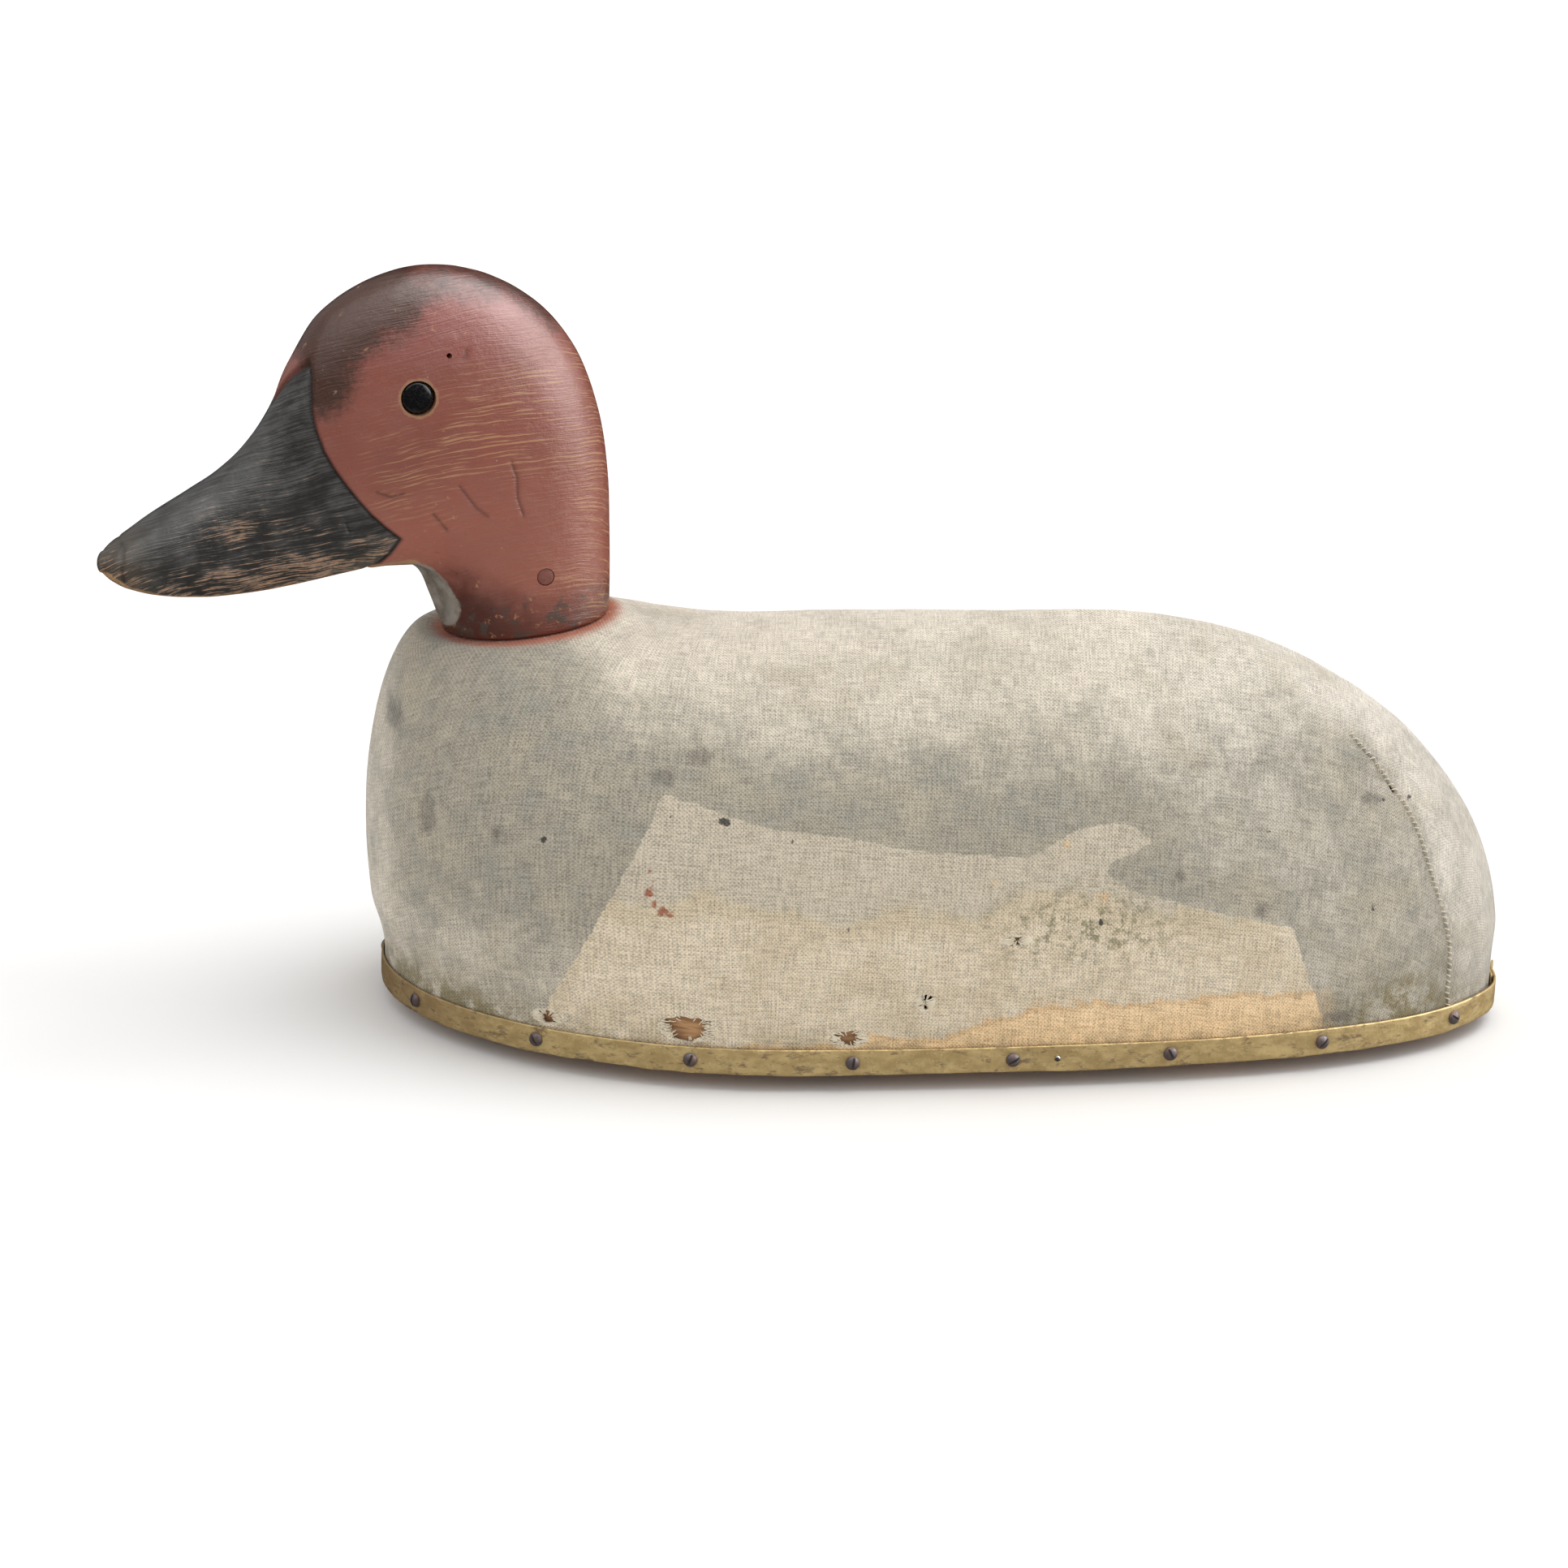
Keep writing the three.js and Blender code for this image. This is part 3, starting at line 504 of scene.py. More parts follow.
class Look:
    """A material built from nodes; places are in millimetres, in the frame or a piece's own."""

    def __init__(self, name, own=False):
        self.material = bpy.data.materials.new(name)
        self.material.use_nodes = True
        self.tree = self.material.node_tree
        self.shader = self.tree.nodes["Principled BSDF"]
        if own:
            metres = self.attribute("own", "Vector")
        else:
            metres = self.add("ShaderNodeTexCoord").outputs["Object"]
        self.place = self.scaled(metres, (1 / MM, 1 / MM, 1 / MM))
        self.x, self.y, self.z = self.split(self.place)

    def add(self, kind, inputs=None, **settings):
        node = self.tree.nodes.new(kind)
        for key, value in settings.items():
            setattr(node, key, value)
        for key, value in (inputs or {}).items():
            self.feed(node.inputs[key], value)
        return node

    def feed(self, socket, value):
        if isinstance(value, Value):
            value = value.socket
        if isinstance(value, bpy.types.NodeSocket):
            self.tree.links.new(value, socket)
        else:
            socket.default_value = value

    def scaled(self, vector, factors):
        return self.add("ShaderNodeVectorMath", {0: vector, 1: factors}, operation="MULTIPLY").outputs[0]

    def split(self, vector):
        parts = self.add("ShaderNodeSeparateXYZ", {0: vector})
        return [Value(self, part) for part in parts.outputs]

    def math(self, operation, a, b=0.0):
        return Value(self, self.add("ShaderNodeMath", {0: a, 1: b}, operation=operation).outputs[0])

    def noise(self, size, seed=0.0, detail=3.0, rough=0.55, place=None, bend=0.0):
        """Noise with features of `size`, one number or one for each axis."""
        sizes = size if isinstance(size, tuple) else (size, size, size)
        vector = self.scaled(place or self.place, tuple(1 / s for s in sizes))
        inputs = {"Vector": vector, "W": seed, "Scale": 1.0, "Detail": detail, "Roughness": rough,
                  "Distortion": bend}
        return Value(self, self.add("ShaderNodeTexNoise", inputs, noise_dimensions="4D").outputs[0])

    def fade(self, value, low, high, start=0.0, end=1.0):
        """A smooth change from `start` to `end` while the value goes from `low` to `high`."""
        inputs = {0: value, 1: low, 2: high, 3: start, 4: end}
        node = self.add("ShaderNodeMapRange", inputs, interpolation_type="SMOOTHSTEP")
        return Value(self, node.outputs[0])

    def mix(self, share, a, b):
        node = self.add("ShaderNodeMix", {0: share, 6: a, 7: b}, data_type="RGBA")
        return node.outputs[2]

    def attribute(self, name, output="Fac"):
        return Value(self, self.add("ShaderNodeAttribute", attribute_name=name).outputs[output])

    def relief(self, *heights):
        """Bumps in order, each a height and its depth in millimetres."""
        normal = None
        for height, depth in heights:
            node = self.add("ShaderNodeBump", {"Height": height, "Distance": depth * MM})
            if normal:
                self.feed(node.inputs["Normal"], normal)
            normal = node.outputs[0]
        self.feed(self.shader.inputs["Normal"], normal)

    def surface(self, color, roughness, **sockets):
        self.feed(self.shader.inputs["Base Color"], color)
        self.feed(self.shader.inputs["Roughness"], roughness)
        for name, value in sockets.items():
            self.shader.inputs[name.replace("_", " ")].default_value = value
        return self.material


def rgb(red, green, blue):
    return (red, green, blue, 1.0)


BLEACHED = rgb(0.66, 0.59, 0.485)
BLEACHED_TAIL = rgb(0.70, 0.64, 0.55)
PAINT_GREY = rgb(0.345, 0.31, 0.245)
PAINT_BLUE = rgb(0.29, 0.282, 0.238)
PAINT_WARM = rgb(0.46, 0.40, 0.30)
BARE_CLOTH = rgb(0.58, 0.485, 0.35)
BARE_PALE = rgb(0.66, 0.565, 0.43)
BARE_GREY = rgb(0.48, 0.425, 0.335)
RUST = rgb(0.79, 0.57, 0.335)
SOIL = rgb(0.235, 0.195, 0.11)
MOLD = rgb(0.20, 0.185, 0.10)
HALO = rgb(0.39, 0.08, 0.018)
SPOT = rgb(0.31, 0.10, 0.05)
DOT = rgb(0.045, 0.042, 0.036)
FRAY = rgb(0.80, 0.71, 0.55)
DARK_MARK_AND_SHADE = rgb(0.14, 0.125, 0.105)
RUST_DEEP = rgb(0.60, 0.36, 0.15)
RUST_LOW = rgb(0.76, 0.50, 0.25)
TIDE_MARK = rgb(0.53, 0.425, 0.26)
SLUB = rgb(0.78, 0.70, 0.55)


THREAD_PITCH = 0.72


def weave(look, cloth):
    """Height of a plain weave, and the uneven tone of its single threads."""
    along, down, _ = look.split(cloth)
    warp = look.math("SINE", along * (math.pi / THREAD_PITCH))
    weft = look.math("SINE", down * (math.pi / THREAD_PITCH))
    height = warp * weft * 0.5 + 0.5
    flat_warp = look.noise((0.62, 9, 1), 1.0, 2, 0.65, cloth)
    flat_weft = look.noise((9, 0.62, 1), 2.0, 2, 0.65, cloth)
    grains = look.noise((0.7, 0.7, 1), 3.0, 2, 0.75, cloth)
    tone = flat_warp * 0.33 + flat_weft * 0.33 + grains * 0.34
    return height, tone


def canvas_look():
    look = Look("canvas")
    cloth = look.attribute("cloth", "Vector")
    height, tone = weave(look, cloth)
    clouds = look.noise(46, 4.0, 3, 0.5)
    mottle = look.noise(15, 5.0, 4, 0.6)
    flecks = look.noise(4.5, 6.0, 4, 0.65)
    worn = look.noise(2.2, 7.0, 3, 0.7)
    slubs = look.noise((5, 0.8, 1), 14.0, 2, 0.6, cloth)

    # Paint: bleached on the back, grey with a little blue-green down the sides.
    grey_and_rim_light = look.attribute("grey") + (clouds - 0.5) * 0.7 + (mottle - 0.5) * 0.6 + (flecks - 0.5) * 0.6
    grey = look.fade(grey_and_rim_light, -0.1, 1.05)
    pale = look.mix(look.fade(look.x, 70, 190), BLEACHED, BLEACHED_TAIL)
    paint = look.mix(grey, pale, PAINT_GREY)
    blue = look.fade(mottle + flecks * 0.4, 0.62, 0.85) * grey
    paint = look.mix(blue * 0.6, paint, PAINT_BLUE)
    warm = look.fade(look.noise(24, 8.0, 4, 0.6), 0.48, 0.68) * 0.5
    paint = look.mix(warm, paint, PAINT_WARM)

    # The bare patch, its ragged edge, and the grey left on its upper part.
    edge = look.attribute("patch") + (flecks - 0.5) * 4.0
    bare = look.fade(edge, -0.3, 0.3)
    left_on = look.fade(look.z + mottle * 22 + clouds * 34, 84, 98)
    tide_line = left_on * (1.0 - left_on) * 4.0
    cloth_color = look.mix(look.fade(mottle, 0.38, 0.62), BARE_CLOTH, BARE_PALE)
    cloth_color = look.mix(left_on * 0.75, cloth_color, BARE_GREY)
    cloth_color = look.mix(tide_line * 0.4, cloth_color, TIDE_MARK)
    mold = look.fade(look.noise(3.8, 9.0, 5, 0.75), 0.48, 0.6) * look.attribute("mold")
    cloth_color = look.mix(mold * 0.85, cloth_color, MOLD)
    color = look.mix(bare, paint, cloth_color)

    # Stains.
    tide = look.attribute("rust") + (look.noise(14, 10.0, 4, 0.6) - 0.5) * 1.7 + (flecks - 0.5) * 0.5
    rusty = look.fade(tide, 0.28, 0.72) * look.fade(bare, 0.0, 1.0, 0.1, 1.0)
    color = look.mix(rusty * 0.85, color, RUST)
    color = look.mix(rusty * look.fade(look.z, 32, 17) * 0.45, color, RUST_LOW)
    tide_edge = rusty * (1.0 - rusty) * 4.0
    color = look.mix(tide_edge * 0.5, color, RUST_DEEP)
    dirty = look.attribute("soil") * look.fade(look.noise(8, 11.0, 5, 0.65), 0.35, 0.62)
    color = look.mix(dirty, color, SOIL)
    # Dark smudges, and painted shade beside the long crease.
    broken = (look.noise(3.6, 12.0, 5, 0.7) - 0.5) * 1.3
    smudge_and_crease_shade = look.fade(look.attribute("smudge_and_crease_shade") + broken, 0.36, 1.0)
    color = look.mix(smudge_and_crease_shade * 0.72, color, DARK_MARK_AND_SHADE)
    dots = look.fade(look.attribute("dots") + worn * 1.6, 0.7, 1.2)
    color = look.mix(dots * 0.92, color, DOT)
    spots = look.fade(look.attribute("spots") + worn * 3.0, 1.3, 2.2)
    color = look.mix(spots * 0.9, color, SPOT)
    ring = look.attribute("halo") * look.fade(flecks, 0.1, 0.48)
    color = look.mix(ring, color, HALO)
    color = look.mix(look.fade(slubs, 0.7, 0.8) * 0.5, color, SLUB)
    frayed = look.fade(look.attribute("fray") + worn * 0.8, 0.75, 1.15)
    color = look.mix(frayed * 0.7, color, FRAY)

    # Single threads: their uneven tone, and painted shade between them that leaves them lighter on their crowns.
    thread_tone_and_shade = look.fade(tone + height * 0.1, 0.40, 0.66, 0.58, 1.32)
    light = look.add("ShaderNodeVectorMath", {0: color, "Scale": thread_tone_and_shade}, operation="SCALE").outputs[0]
    look.relief((look.noise(1.6, 13.0, 3, 0.6), 0.25), (height, 0.22), (tone, 0.4))
    return look.surface(light, 0.92, Sheen_Weight=0.3, Sheen_Roughness=0.45, Specular_IOR_Level=0.2)


THREAD_TAN = rgb(0.58, 0.49, 0.35)
THREAD_PALE = rgb(0.86, 0.79, 0.64)


def thread_look():
    look = Look("thread")
    tone = look.noise(3, 1.0, 3, 0.6)
    color = look.mix(tone, THREAD_TAN, THREAD_PALE)
    look.relief((look.noise(0.3, 2.0, 2, 0.6), 0.1))
    return look.surface(color, 0.9, Sheen_Weight=0.2)


BRASS_DARK = rgb(0.48, 0.335, 0.14)
BRASS_PALE = rgb(0.70, 0.52, 0.235)
BRASS_PAINTED_GLINT = rgb(0.78, 0.62, 0.33)
BRASS_FRONT_DARK = rgb(0.27, 0.165, 0.08)
BRASS_PATINA = rgb(0.14, 0.08, 0.04)
BRASS_GREEN = rgb(0.26, 0.27, 0.13)


def brass_look():
    look = Look("weathered_brass")
    clouds = look.noise((9, 9, 5), 1.0, 5, 0.6)
    spots = look.noise((6, 6, 2.6), 2.0, 6, 0.7)
    fine = look.noise(0.9, 3.0, 3, 0.6)
    scratch = look.noise((0.5, 7, 7), 4.0, 2, 0.6)
    color = look.mix(look.fade(clouds, 0.35, 0.65), BRASS_DARK, BRASS_PALE)
    # Painted glints: small bright flecks over the brass.
    color = look.mix(look.fade(fine, 0.58, 0.72), color, BRASS_PAINTED_GLINT)
    # Darker towards the breast end.
    front_darkening = look.fade(look.x + clouds * 60, -60, -130)
    color = look.mix(front_darkening * 0.7, color, BRASS_FRONT_DARK)
    patina = look.fade(spots + clouds * 0.6, 0.80, 0.98)
    color = look.mix(patina * 0.8, color, BRASS_PATINA)
    green = look.fade(look.noise(6, 5.0, 4, 0.6), 0.60, 0.72)
    color = look.mix(green * 0.45, color, BRASS_GREEN)
    rough = look.fade(patina + fine * 0.5, 0.2, 1.2, 0.38, 0.75)
    look.relief((look.noise(5, 6.0, 3, 0.5), 0.8), (spots, 0.22), (scratch, 0.05))
    return look.surface(color, rough, Metallic=0.3)


STEEL_DARK = rgb(0.15, 0.14, 0.148)
STEEL_RUST = rgb(0.20, 0.125, 0.10)
STEEL_SHEEN = rgb(0.24, 0.23, 0.25)


def rusty_steel_look():
    look = Look("rusted_steel")
    spots = look.noise(1.3, 1.0, 4, 0.65)
    fine = look.noise(0.4, 2.0, 3, 0.6)
    color = look.mix(look.fade(spots, 0.42, 0.6), STEEL_DARK, STEEL_RUST)
    color = look.mix(look.fade(fine, 0.58, 0.7), color, STEEL_SHEEN)
    look.relief((spots, 0.2), (fine, 0.07))
    return look.surface(color, look.fade(spots, 0.3, 0.7, 0.38, 0.72), Metallic=0.55)


NAIL_BRIGHT = rgb(0.52, 0.50, 0.48)
NAIL_DULL = rgb(0.30, 0.25, 0.22)


def bright_steel_look():
    look = Look("bright_steel")
    spots = look.noise(0.6, 1.0, 3, 0.6)
    color = look.mix(look.fade(spots, 0.5, 0.7), NAIL_BRIGHT, NAIL_DULL)
    look.relief((spots, 0.06))
    return look.surface(color, look.fade(spots, 0.3, 0.7, 0.22, 0.5), Metallic=0.95)


LEAD_DARK = rgb(0.23, 0.235, 0.245)
LEAD_PALE = rgb(0.36, 0.36, 0.355)
LEAD_BRIGHT = rgb(0.50, 0.49, 0.47)


def lead_look():
    look = Look("cast_lead")
    clouds = look.noise(22, 1.0, 4, 0.6)
    fine = look.noise(2.0, 2.0, 4, 0.65)
    color = look.mix(look.fade(clouds, 0.35, 0.65), LEAD_DARK, LEAD_PALE)
    color = look.mix(look.fade(fine, 0.57, 0.72), color, LEAD_BRIGHT)
    look.relief((clouds, 0.8), (fine, 0.2))
    return look.surface(color, look.fade(fine, 0.3, 0.7, 0.5, 0.72), Metallic=0.6)


# Each wood's pale and dark rings and the dirt on it.
BOARD_WOOD = (rgb(0.50, 0.28, 0.13), rgb(0.30, 0.155, 0.07), rgb(0.20, 0.12, 0.065))
DOWEL_WOOD = (rgb(0.55, 0.38, 0.21), rgb(0.40, 0.25, 0.12), rgb(0.30, 0.2, 0.12))
FRAME_PINE = (rgb(0.50, 0.33, 0.17), rgb(0.34, 0.2, 0.09), rgb(0.2, 0.13, 0.07))


def wood_look(name, pale, dark, dirt, along=0):
    """Flat-sawn wood: long rings along one axis, fine pores, and dirt."""
    look = Look(name)
    sizes = [7.0, 7.0, 7.0]
    sizes[along] = 130.0
    rings = look.noise(tuple(sizes), 1.0, 3, 0.5, bend=0.6)
    pores = look.noise(tuple(s * 0.1 for s in sizes), 2.0, 3, 0.6)
    bands = look.math("PINGPONG", rings * 9.0, 0.5)
    color = look.mix(look.fade(bands, 0.05, 0.45), dark, pale)
    color = look.mix(look.fade(pores, 0.52, 0.68) * 0.5, color, dark)
    stain = look.fade(look.noise(30, 3.0, 5, 0.65), 0.42, 0.66)
    color = look.mix(stain * 0.65, color, dirt)
    look.relief((bands, 0.12), (pores, 0.12))
    return look.surface(color, 0.72, Specular_IOR_Level=0.3)


EYE_BLACK = rgb(0.006, 0.006, 0.007)
EYE_DUST = rgb(0.04, 0.036, 0.032)


def glass_eye_look():
    look = Look("black_glass_eye")
    dust = look.noise(1.4, 1.0, 4, 0.7)
    color = look.mix(look.fade(dust, 0.55, 0.8), EYE_BLACK, EYE_DUST)
    look.relief((dust, 0.02))
    return look.surface(color, look.fade(dust, 0.35, 0.7, 0.14, 0.4), Specular_IOR_Level=0.45)


FLOOR_DIM = rgb(0.875, 0.873, 0.87)
FLOOR_BRIGHT = rgb(0.885, 0.883, 0.88)


def floor_look():
    look = Look("pale_floor")
    soft = look.noise(900, 1.0, 2, 0.5)
    color = look.mix(soft, FLOOR_DIM, FLOOR_BRIGHT)
    return look.surface(color, 0.9, Specular_IOR_Level=0.0)


# Head paint.
HEAD_RED = rgb(0.245, 0.074, 0.05)
HEAD_BROWN = rgb(0.285, 0.084, 0.057)
CROWN_SHEEN_RED = rgb(0.29, 0.09, 0.074)
CROWN_DARK = rgb(0.056, 0.021, 0.010)
RAW_WOOD = rgb(0.47, 0.245, 0.105)
BILL_BLACK = rgb(0.030, 0.028, 0.025)
BILL_GREY = rgb(0.088, 0.085, 0.080)
BILL_WORN = rgb(0.15, 0.105, 0.075)
BILL_TAN = rgb(0.40, 0.235, 0.14)
BILL_OLIVE = rgb(0.082, 0.063, 0.042)
PRIMER_AND_REFLECTION = rgb(0.165, 0.135, 0.105)
PRIMER_PALE_AND_REFLECTION = rgb(0.28, 0.25, 0.21)
NECK_RED = rgb(0.36, 0.122, 0.082)
NECK_DARK = rgb(0.07, 0.018, 0.011)
GRIME = rgb(0.075, 0.062, 0.05)
LINE_DARK = rgb(0.018, 0.012, 0.01)
RIM_WOOD = rgb(0.36, 0.20, 0.10)
EDGE_WOOD = rgb(0.38, 0.215, 0.10)
DUST = rgb(0.52, 0.42, 0.34)
PEG_DARK = rgb(0.20, 0.06, 0.042)
RING_PITCH = 1.5


def grain_place(look):
    """Height through the head's growth layers, and coordinates in which they lie flat."""
    through = look.z - look.x * 0.03 + look.y * 0.5 + look.noise(38, 20.0, 2, 0.5) * 9.0
    return through, look.add("ShaderNodeCombineXYZ", {0: look.x, 1: look.y, 2: through}).outputs[0]


def head_look():
    look = Look("painted_head", own=True)
    through, layers = grain_place(look)
    streak = look.noise((18, 18, 0.8), 1.0, 3, 0.6, layers)
    hair = look.noise((9, 9, 0.32), 2.0, 2, 0.65, layers)
    clouds = look.noise(30, 3.0, 4, 0.6)
    blotch = look.noise(11, 4.0, 5, 0.65)
    specks = look.noise(1.7, 5.0, 4, 0.7)
    fine = look.noise(0.7, 12.0, 3, 0.6)

    # Red-brown paint, painted lighter over the crown as a sheen, with dark smears there; darker low on the neck.
    red = look.mix(look.fade(clouds + look.x * 0.003, 0.26, 0.58), HEAD_RED, HEAD_BROWN)
    red = look.mix(look.fade(look.z, 98, 118) * 0.8, red, CROWN_SHEEN_RED)
    smear = look.attribute("smear") + (blotch - 0.5) * 1.2 + (specks - 0.5) * 0.9 + (hair - 0.5) * 0.5
    red = look.mix(look.fade(smear, 0.2, 0.95) * 0.9, red, CROWN_DARK)
    red = look.mix(look.fade(look.z, 76, 42) * 0.55, red, NECK_RED)
    # Darker low on the neck, most at its front.
    front = look.fade(look.x, 5, -28)
    low = look.fade(look.z + blotch * 26 + front * -14, 34, 12)
    red = look.mix(low * look.fade(front, 0, 1, 0.68, 0.92), red, NECK_DARK)
    foot = look.fade(look.z + look.noise(7, 6.0, 4, 0.6) * 26, 31, 22)
    grime = foot * look.fade(look.noise(5, 7.0, 4, 0.65), 0.52, 0.6)
    red = look.mix(grime * 0.75, red, GRIME)
    thin = look.fade(look.noise(2.0, 8.0, 4, 0.7), 0.64, 0.71)
    red = look.mix(thin * 0.55, red, CROWN_DARK)

    # Wood showing along the growth layers where the cheeks and the back are worn.
    zone = look.attribute("grainy") + (look.noise(13, 9.0, 3, 0.55) - 0.5) * 1.3
    ridge = look.math("SINE", through * (TURN / RING_PITCH))
    ridge = ridge * 0.07 + streak + hair * 0.4
    line = look.fade(ridge, 0.76, 0.84)
    worn = line * look.fade(zone, 0.15, 0.75)
    red = look.mix(worn * 0.7, red, RAW_WOOD)
    more_low = look.fade(look.z, 30, 4, 0.0, 0.05)
    chips = look.fade(look.noise(3.6, 10.0, 5, 0.7) + blotch * 0.25 + more_low, 0.76, 0.82)
    red = look.mix(chips * 0.6, red, RAW_WOOD)

    # Bill: black over grey, rubbed to the wood along its lower edge.
    shine = streak * 0.6 + hair * 0.3 + blotch * 0.5
    black = look.mix(look.fade(shine, 0.62, 0.85), BILL_BLACK, BILL_GREY)
    rub = look.attribute("lower") + blotch - 0.5 + (streak - 0.5) * 1.8 + (hair - 0.5) * 2.0
    rubbed = look.mix(look.fade(specks + hair, 0.85, 1.15), BILL_WORN, BILL_TAN)
    tip = look.fade(look.x + blotch * 14, -122, -136)
    black = look.mix(tip * 0.75, black, BILL_OLIVE)
    black = look.mix(look.fade(rub, 0.66, 0.84) * 0.85, black, rubbed)
    bill_side = look.fade(look.attribute("bill"), -0.25, 0.25)
    color = look.mix(bill_side, red, black)
    groove = look.attribute("groove")
    color = look.mix(groove * 0.8, color, LINE_DARK)

    # Hollows at the front of the neck in grey primer, made lighter as a painted reflection of the pale floor; the
    # eye's raw rim, worn edges and dust.
    hollow = look.fade(look.attribute("facet") + specks * 1.2, 0.3, 1.2)
    grey = look.mix(look.fade(blotch, 0.38, 0.62), PRIMER_AND_REFLECTION, PRIMER_PALE_AND_REFLECTION)
    color = look.mix(hollow, color, grey)
    rim = look.fade(look.attribute("rim") + look.noise(2.2, 13.0, 4, 0.65) * 1.5, 1.1, 1.5)
    color = look.mix(rim * 0.65, color, RIM_WOOD)
    edge = look.fade(look.attribute("edge") + specks * 0.8, 0.9, 1.3)
    color = look.mix(edge * 0.75, color, EDGE_WOOD)
    dust = look.fade(look.noise(1.1, 14.0, 2, 0.7), 0.735, 0.765)
    color = look.mix(dust * 0.6, color, DUST)

    gloss = look.fade(blotch + line * 0.3 + fine * 0.2, 0.4, 0.95, 0.27, 0.50)
    look.relief((look.noise(9, 11.0, 3, 0.5), 0.6), (streak, 0.3), (hair, 0.1), (specks, 0.2), (fine, 0.05))
    return look.surface(color, gloss, Coat_Weight=0.3, Coat_Roughness=0.24)


def peg_look():
    look = Look("painted_peg", own=True)
    streak = look.noise((1.2, 1.2, 1.2), 1.0, 3, 0.6)
    color = look.mix(look.fade(streak, 0.35, 0.65), HEAD_RED, PEG_DARK)
    look.relief((streak, 0.12))
    return look.surface(color, 0.5, Coat_Weight=0.1, Coat_Roughness=0.3)


# ---------------------------------------------------------------- camera, light, floor

# Lengths here are in metres; the camera's own are in millimetres, as for a real one.
CAMERA_AIM = Vector((-10.97, -0.8, 83.28)) * MM
CAMERA_DISTANCE = 1.9
CAMERA_ELEVATION = 19
CAMERA_ROLL = 1.5
CAMERA_LENS = 118
FLOOR_HALF = 60


def add_camera():
    data = bpy.data.cameras.new("camera")
    data.lens = CAMERA_LENS
    data.sensor_width = 36
    data.clip_end = 150
    camera = linked("camera", data)
    tip = math.radians(CAMERA_ELEVATION)
    back = Vector((0, -math.cos(tip), math.sin(tip)))
    right = Vector((1, 0, 0))
    up = back.cross(right)
    roll = math.radians(CAMERA_ROLL)
    turned_right = right * math.cos(roll) + up * math.sin(roll)
    turned_up = up * math.cos(roll) - right * math.sin(roll)
    turn = Matrix((turned_right, turned_up, back)).transposed().to_4x4()
    camera.matrix_world = Matrix.Translation(CAMERA_AIM + back * CAMERA_DISTANCE) @ turn
    bpy.context.scene.camera = camera


SKY = 0.80
# Each lamp: the way to it, its strength and the width of its disc in degrees.
LAMPS = {
    "key": ((0.40, 0.10, 0.91), 1.30, 42),
    "right": ((0.88, 0.25, 0.42), 0.55, 70),
    "left_back": ((-0.75, 0.55, 0.40), 0.35, 70),
}
# Cards seen only as reflections in the paint and the metal, given in the same way.
CARDS = {
    "top_card": ((0.30, 0.08, 0.95), 3.0, 66),
    "right_card": ((0.88, -0.10, 0.42), 3.4, 58),
    "left_card": ((-0.50, -0.25, 0.83), 1.1, 60),
}


def add_sun(name, away, strength, width):
    data = bpy.data.lights.new(name, "SUN")
    data.energy = strength
    data.angle = math.radians(width)
    lamp = linked(name, data)
    lamp.rotation_mode = "QUATERNION"
    lamp.rotation_quaternion = Vector(away).to_track_quat("Z", "Y")
    return lamp


def add_light():
    world = bpy.data.worlds.new("studio")
    world.use_nodes = True
    sky = world.node_tree.nodes["Background"]
    sky.inputs["Color"].default_value = rgb(1.0, 0.998, 0.995)
    sky.inputs["Strength"].default_value = SKY
    world.cycles_visibility.glossy = False
    bpy.context.scene.world = world
    for name, sun in LAMPS.items():
        add_sun(name, *sun)
    for name, sun in CARDS.items():
        add_sun(name, *sun).visible_diffuse = False
    bpy.context.scene.view_settings.view_transform = "Standard"


def add_floor():
    corners = [(x * FLOOR_HALF, y * FLOOR_HALF, 0) for x, y in ((-1, -1), (1, -1), (1, 1), (-1, 1))]
    floor = mesh_object("floor", corners, [[0, 1, 2, 3]])
    floor.data.materials.append(floor_look())
    floor.visible_glossy = False


# ---------------------------------------------------------------- canvas

# Side outline of the patch worn bare on the left, in x and z.
PATCH = [
    (-97, 105), (-79, 100), (-61, 95), (-32, 92), (-1, 87), (34, 85), (51, 94), (67, 96), (79, 89),
    (63, 82), (62, 78), (72, 72), (114, 60), (130, 56), (143, 20), (143, 0), (-140, 0), (-140, 19),
    (-129, 42), (-115, 68), (-103, 91),
]
# The tail's stitched seam from its top to the hem, and where it has opened, given as a tear.
SEAM = [(151, -26, 117), (162, -30, 105), (174, -33, 88), (182, -37, 67), (190, -37, 42), (192, -35, 14)]
SEAM_OPEN = ((166, -31, 100), (2.0, 6.5), 36)
# The seam's stitches, its loose ends, and the section of its turned fold: across and out.
STITCH_STEP = 2.3
STITCH_R = 0.28
LOOSE_ENDS = 16
FOLD_SECTION = [
    (-2.6, 0.02), (-1.6, 0.28), (-0.5, 0.52), (0.25, 0.56), (0.55, 0.34), (0.6, -0.1),
    (0.1, -0.35), (-1.4, -0.35), (-2.5, -0.35),
]
# How late the threads across the back turn down its sides, and the cloth's length over the breast.
CLOTH_TURN = 0.2
BREAST_CLOTH = 165
# A long crease on the left of the back.
CREASE = [(86, -53, 115), (131, -39, 114), (168, -25, 105)]
# Marks on one side of the body, -1 for the left: side, x, z and radius.
DOTS = [
    (-1, -76, 97, 1.4), (-1, -74, 96.5, 1.5), (-1, -51, 91, 0.9), (-1, -94, 98, 0.8), (-1, -139, 87, 1.4),
    (-1, 173, 95, 1.1), (-1, 165, 109, 0.7), (-1, 163, 96, 0.9), (-1, 120, 90, 0.9), (-1, 160, 60, 1.2),
    (-1, 60, 62, 1.4), (-1, -30, 61, 0.8), (1, 176, 60, 1.4), (1, 20, 60, 1.3), (1, -120, 70, 1.6),
    (1, 60, 88, 1.2),
]
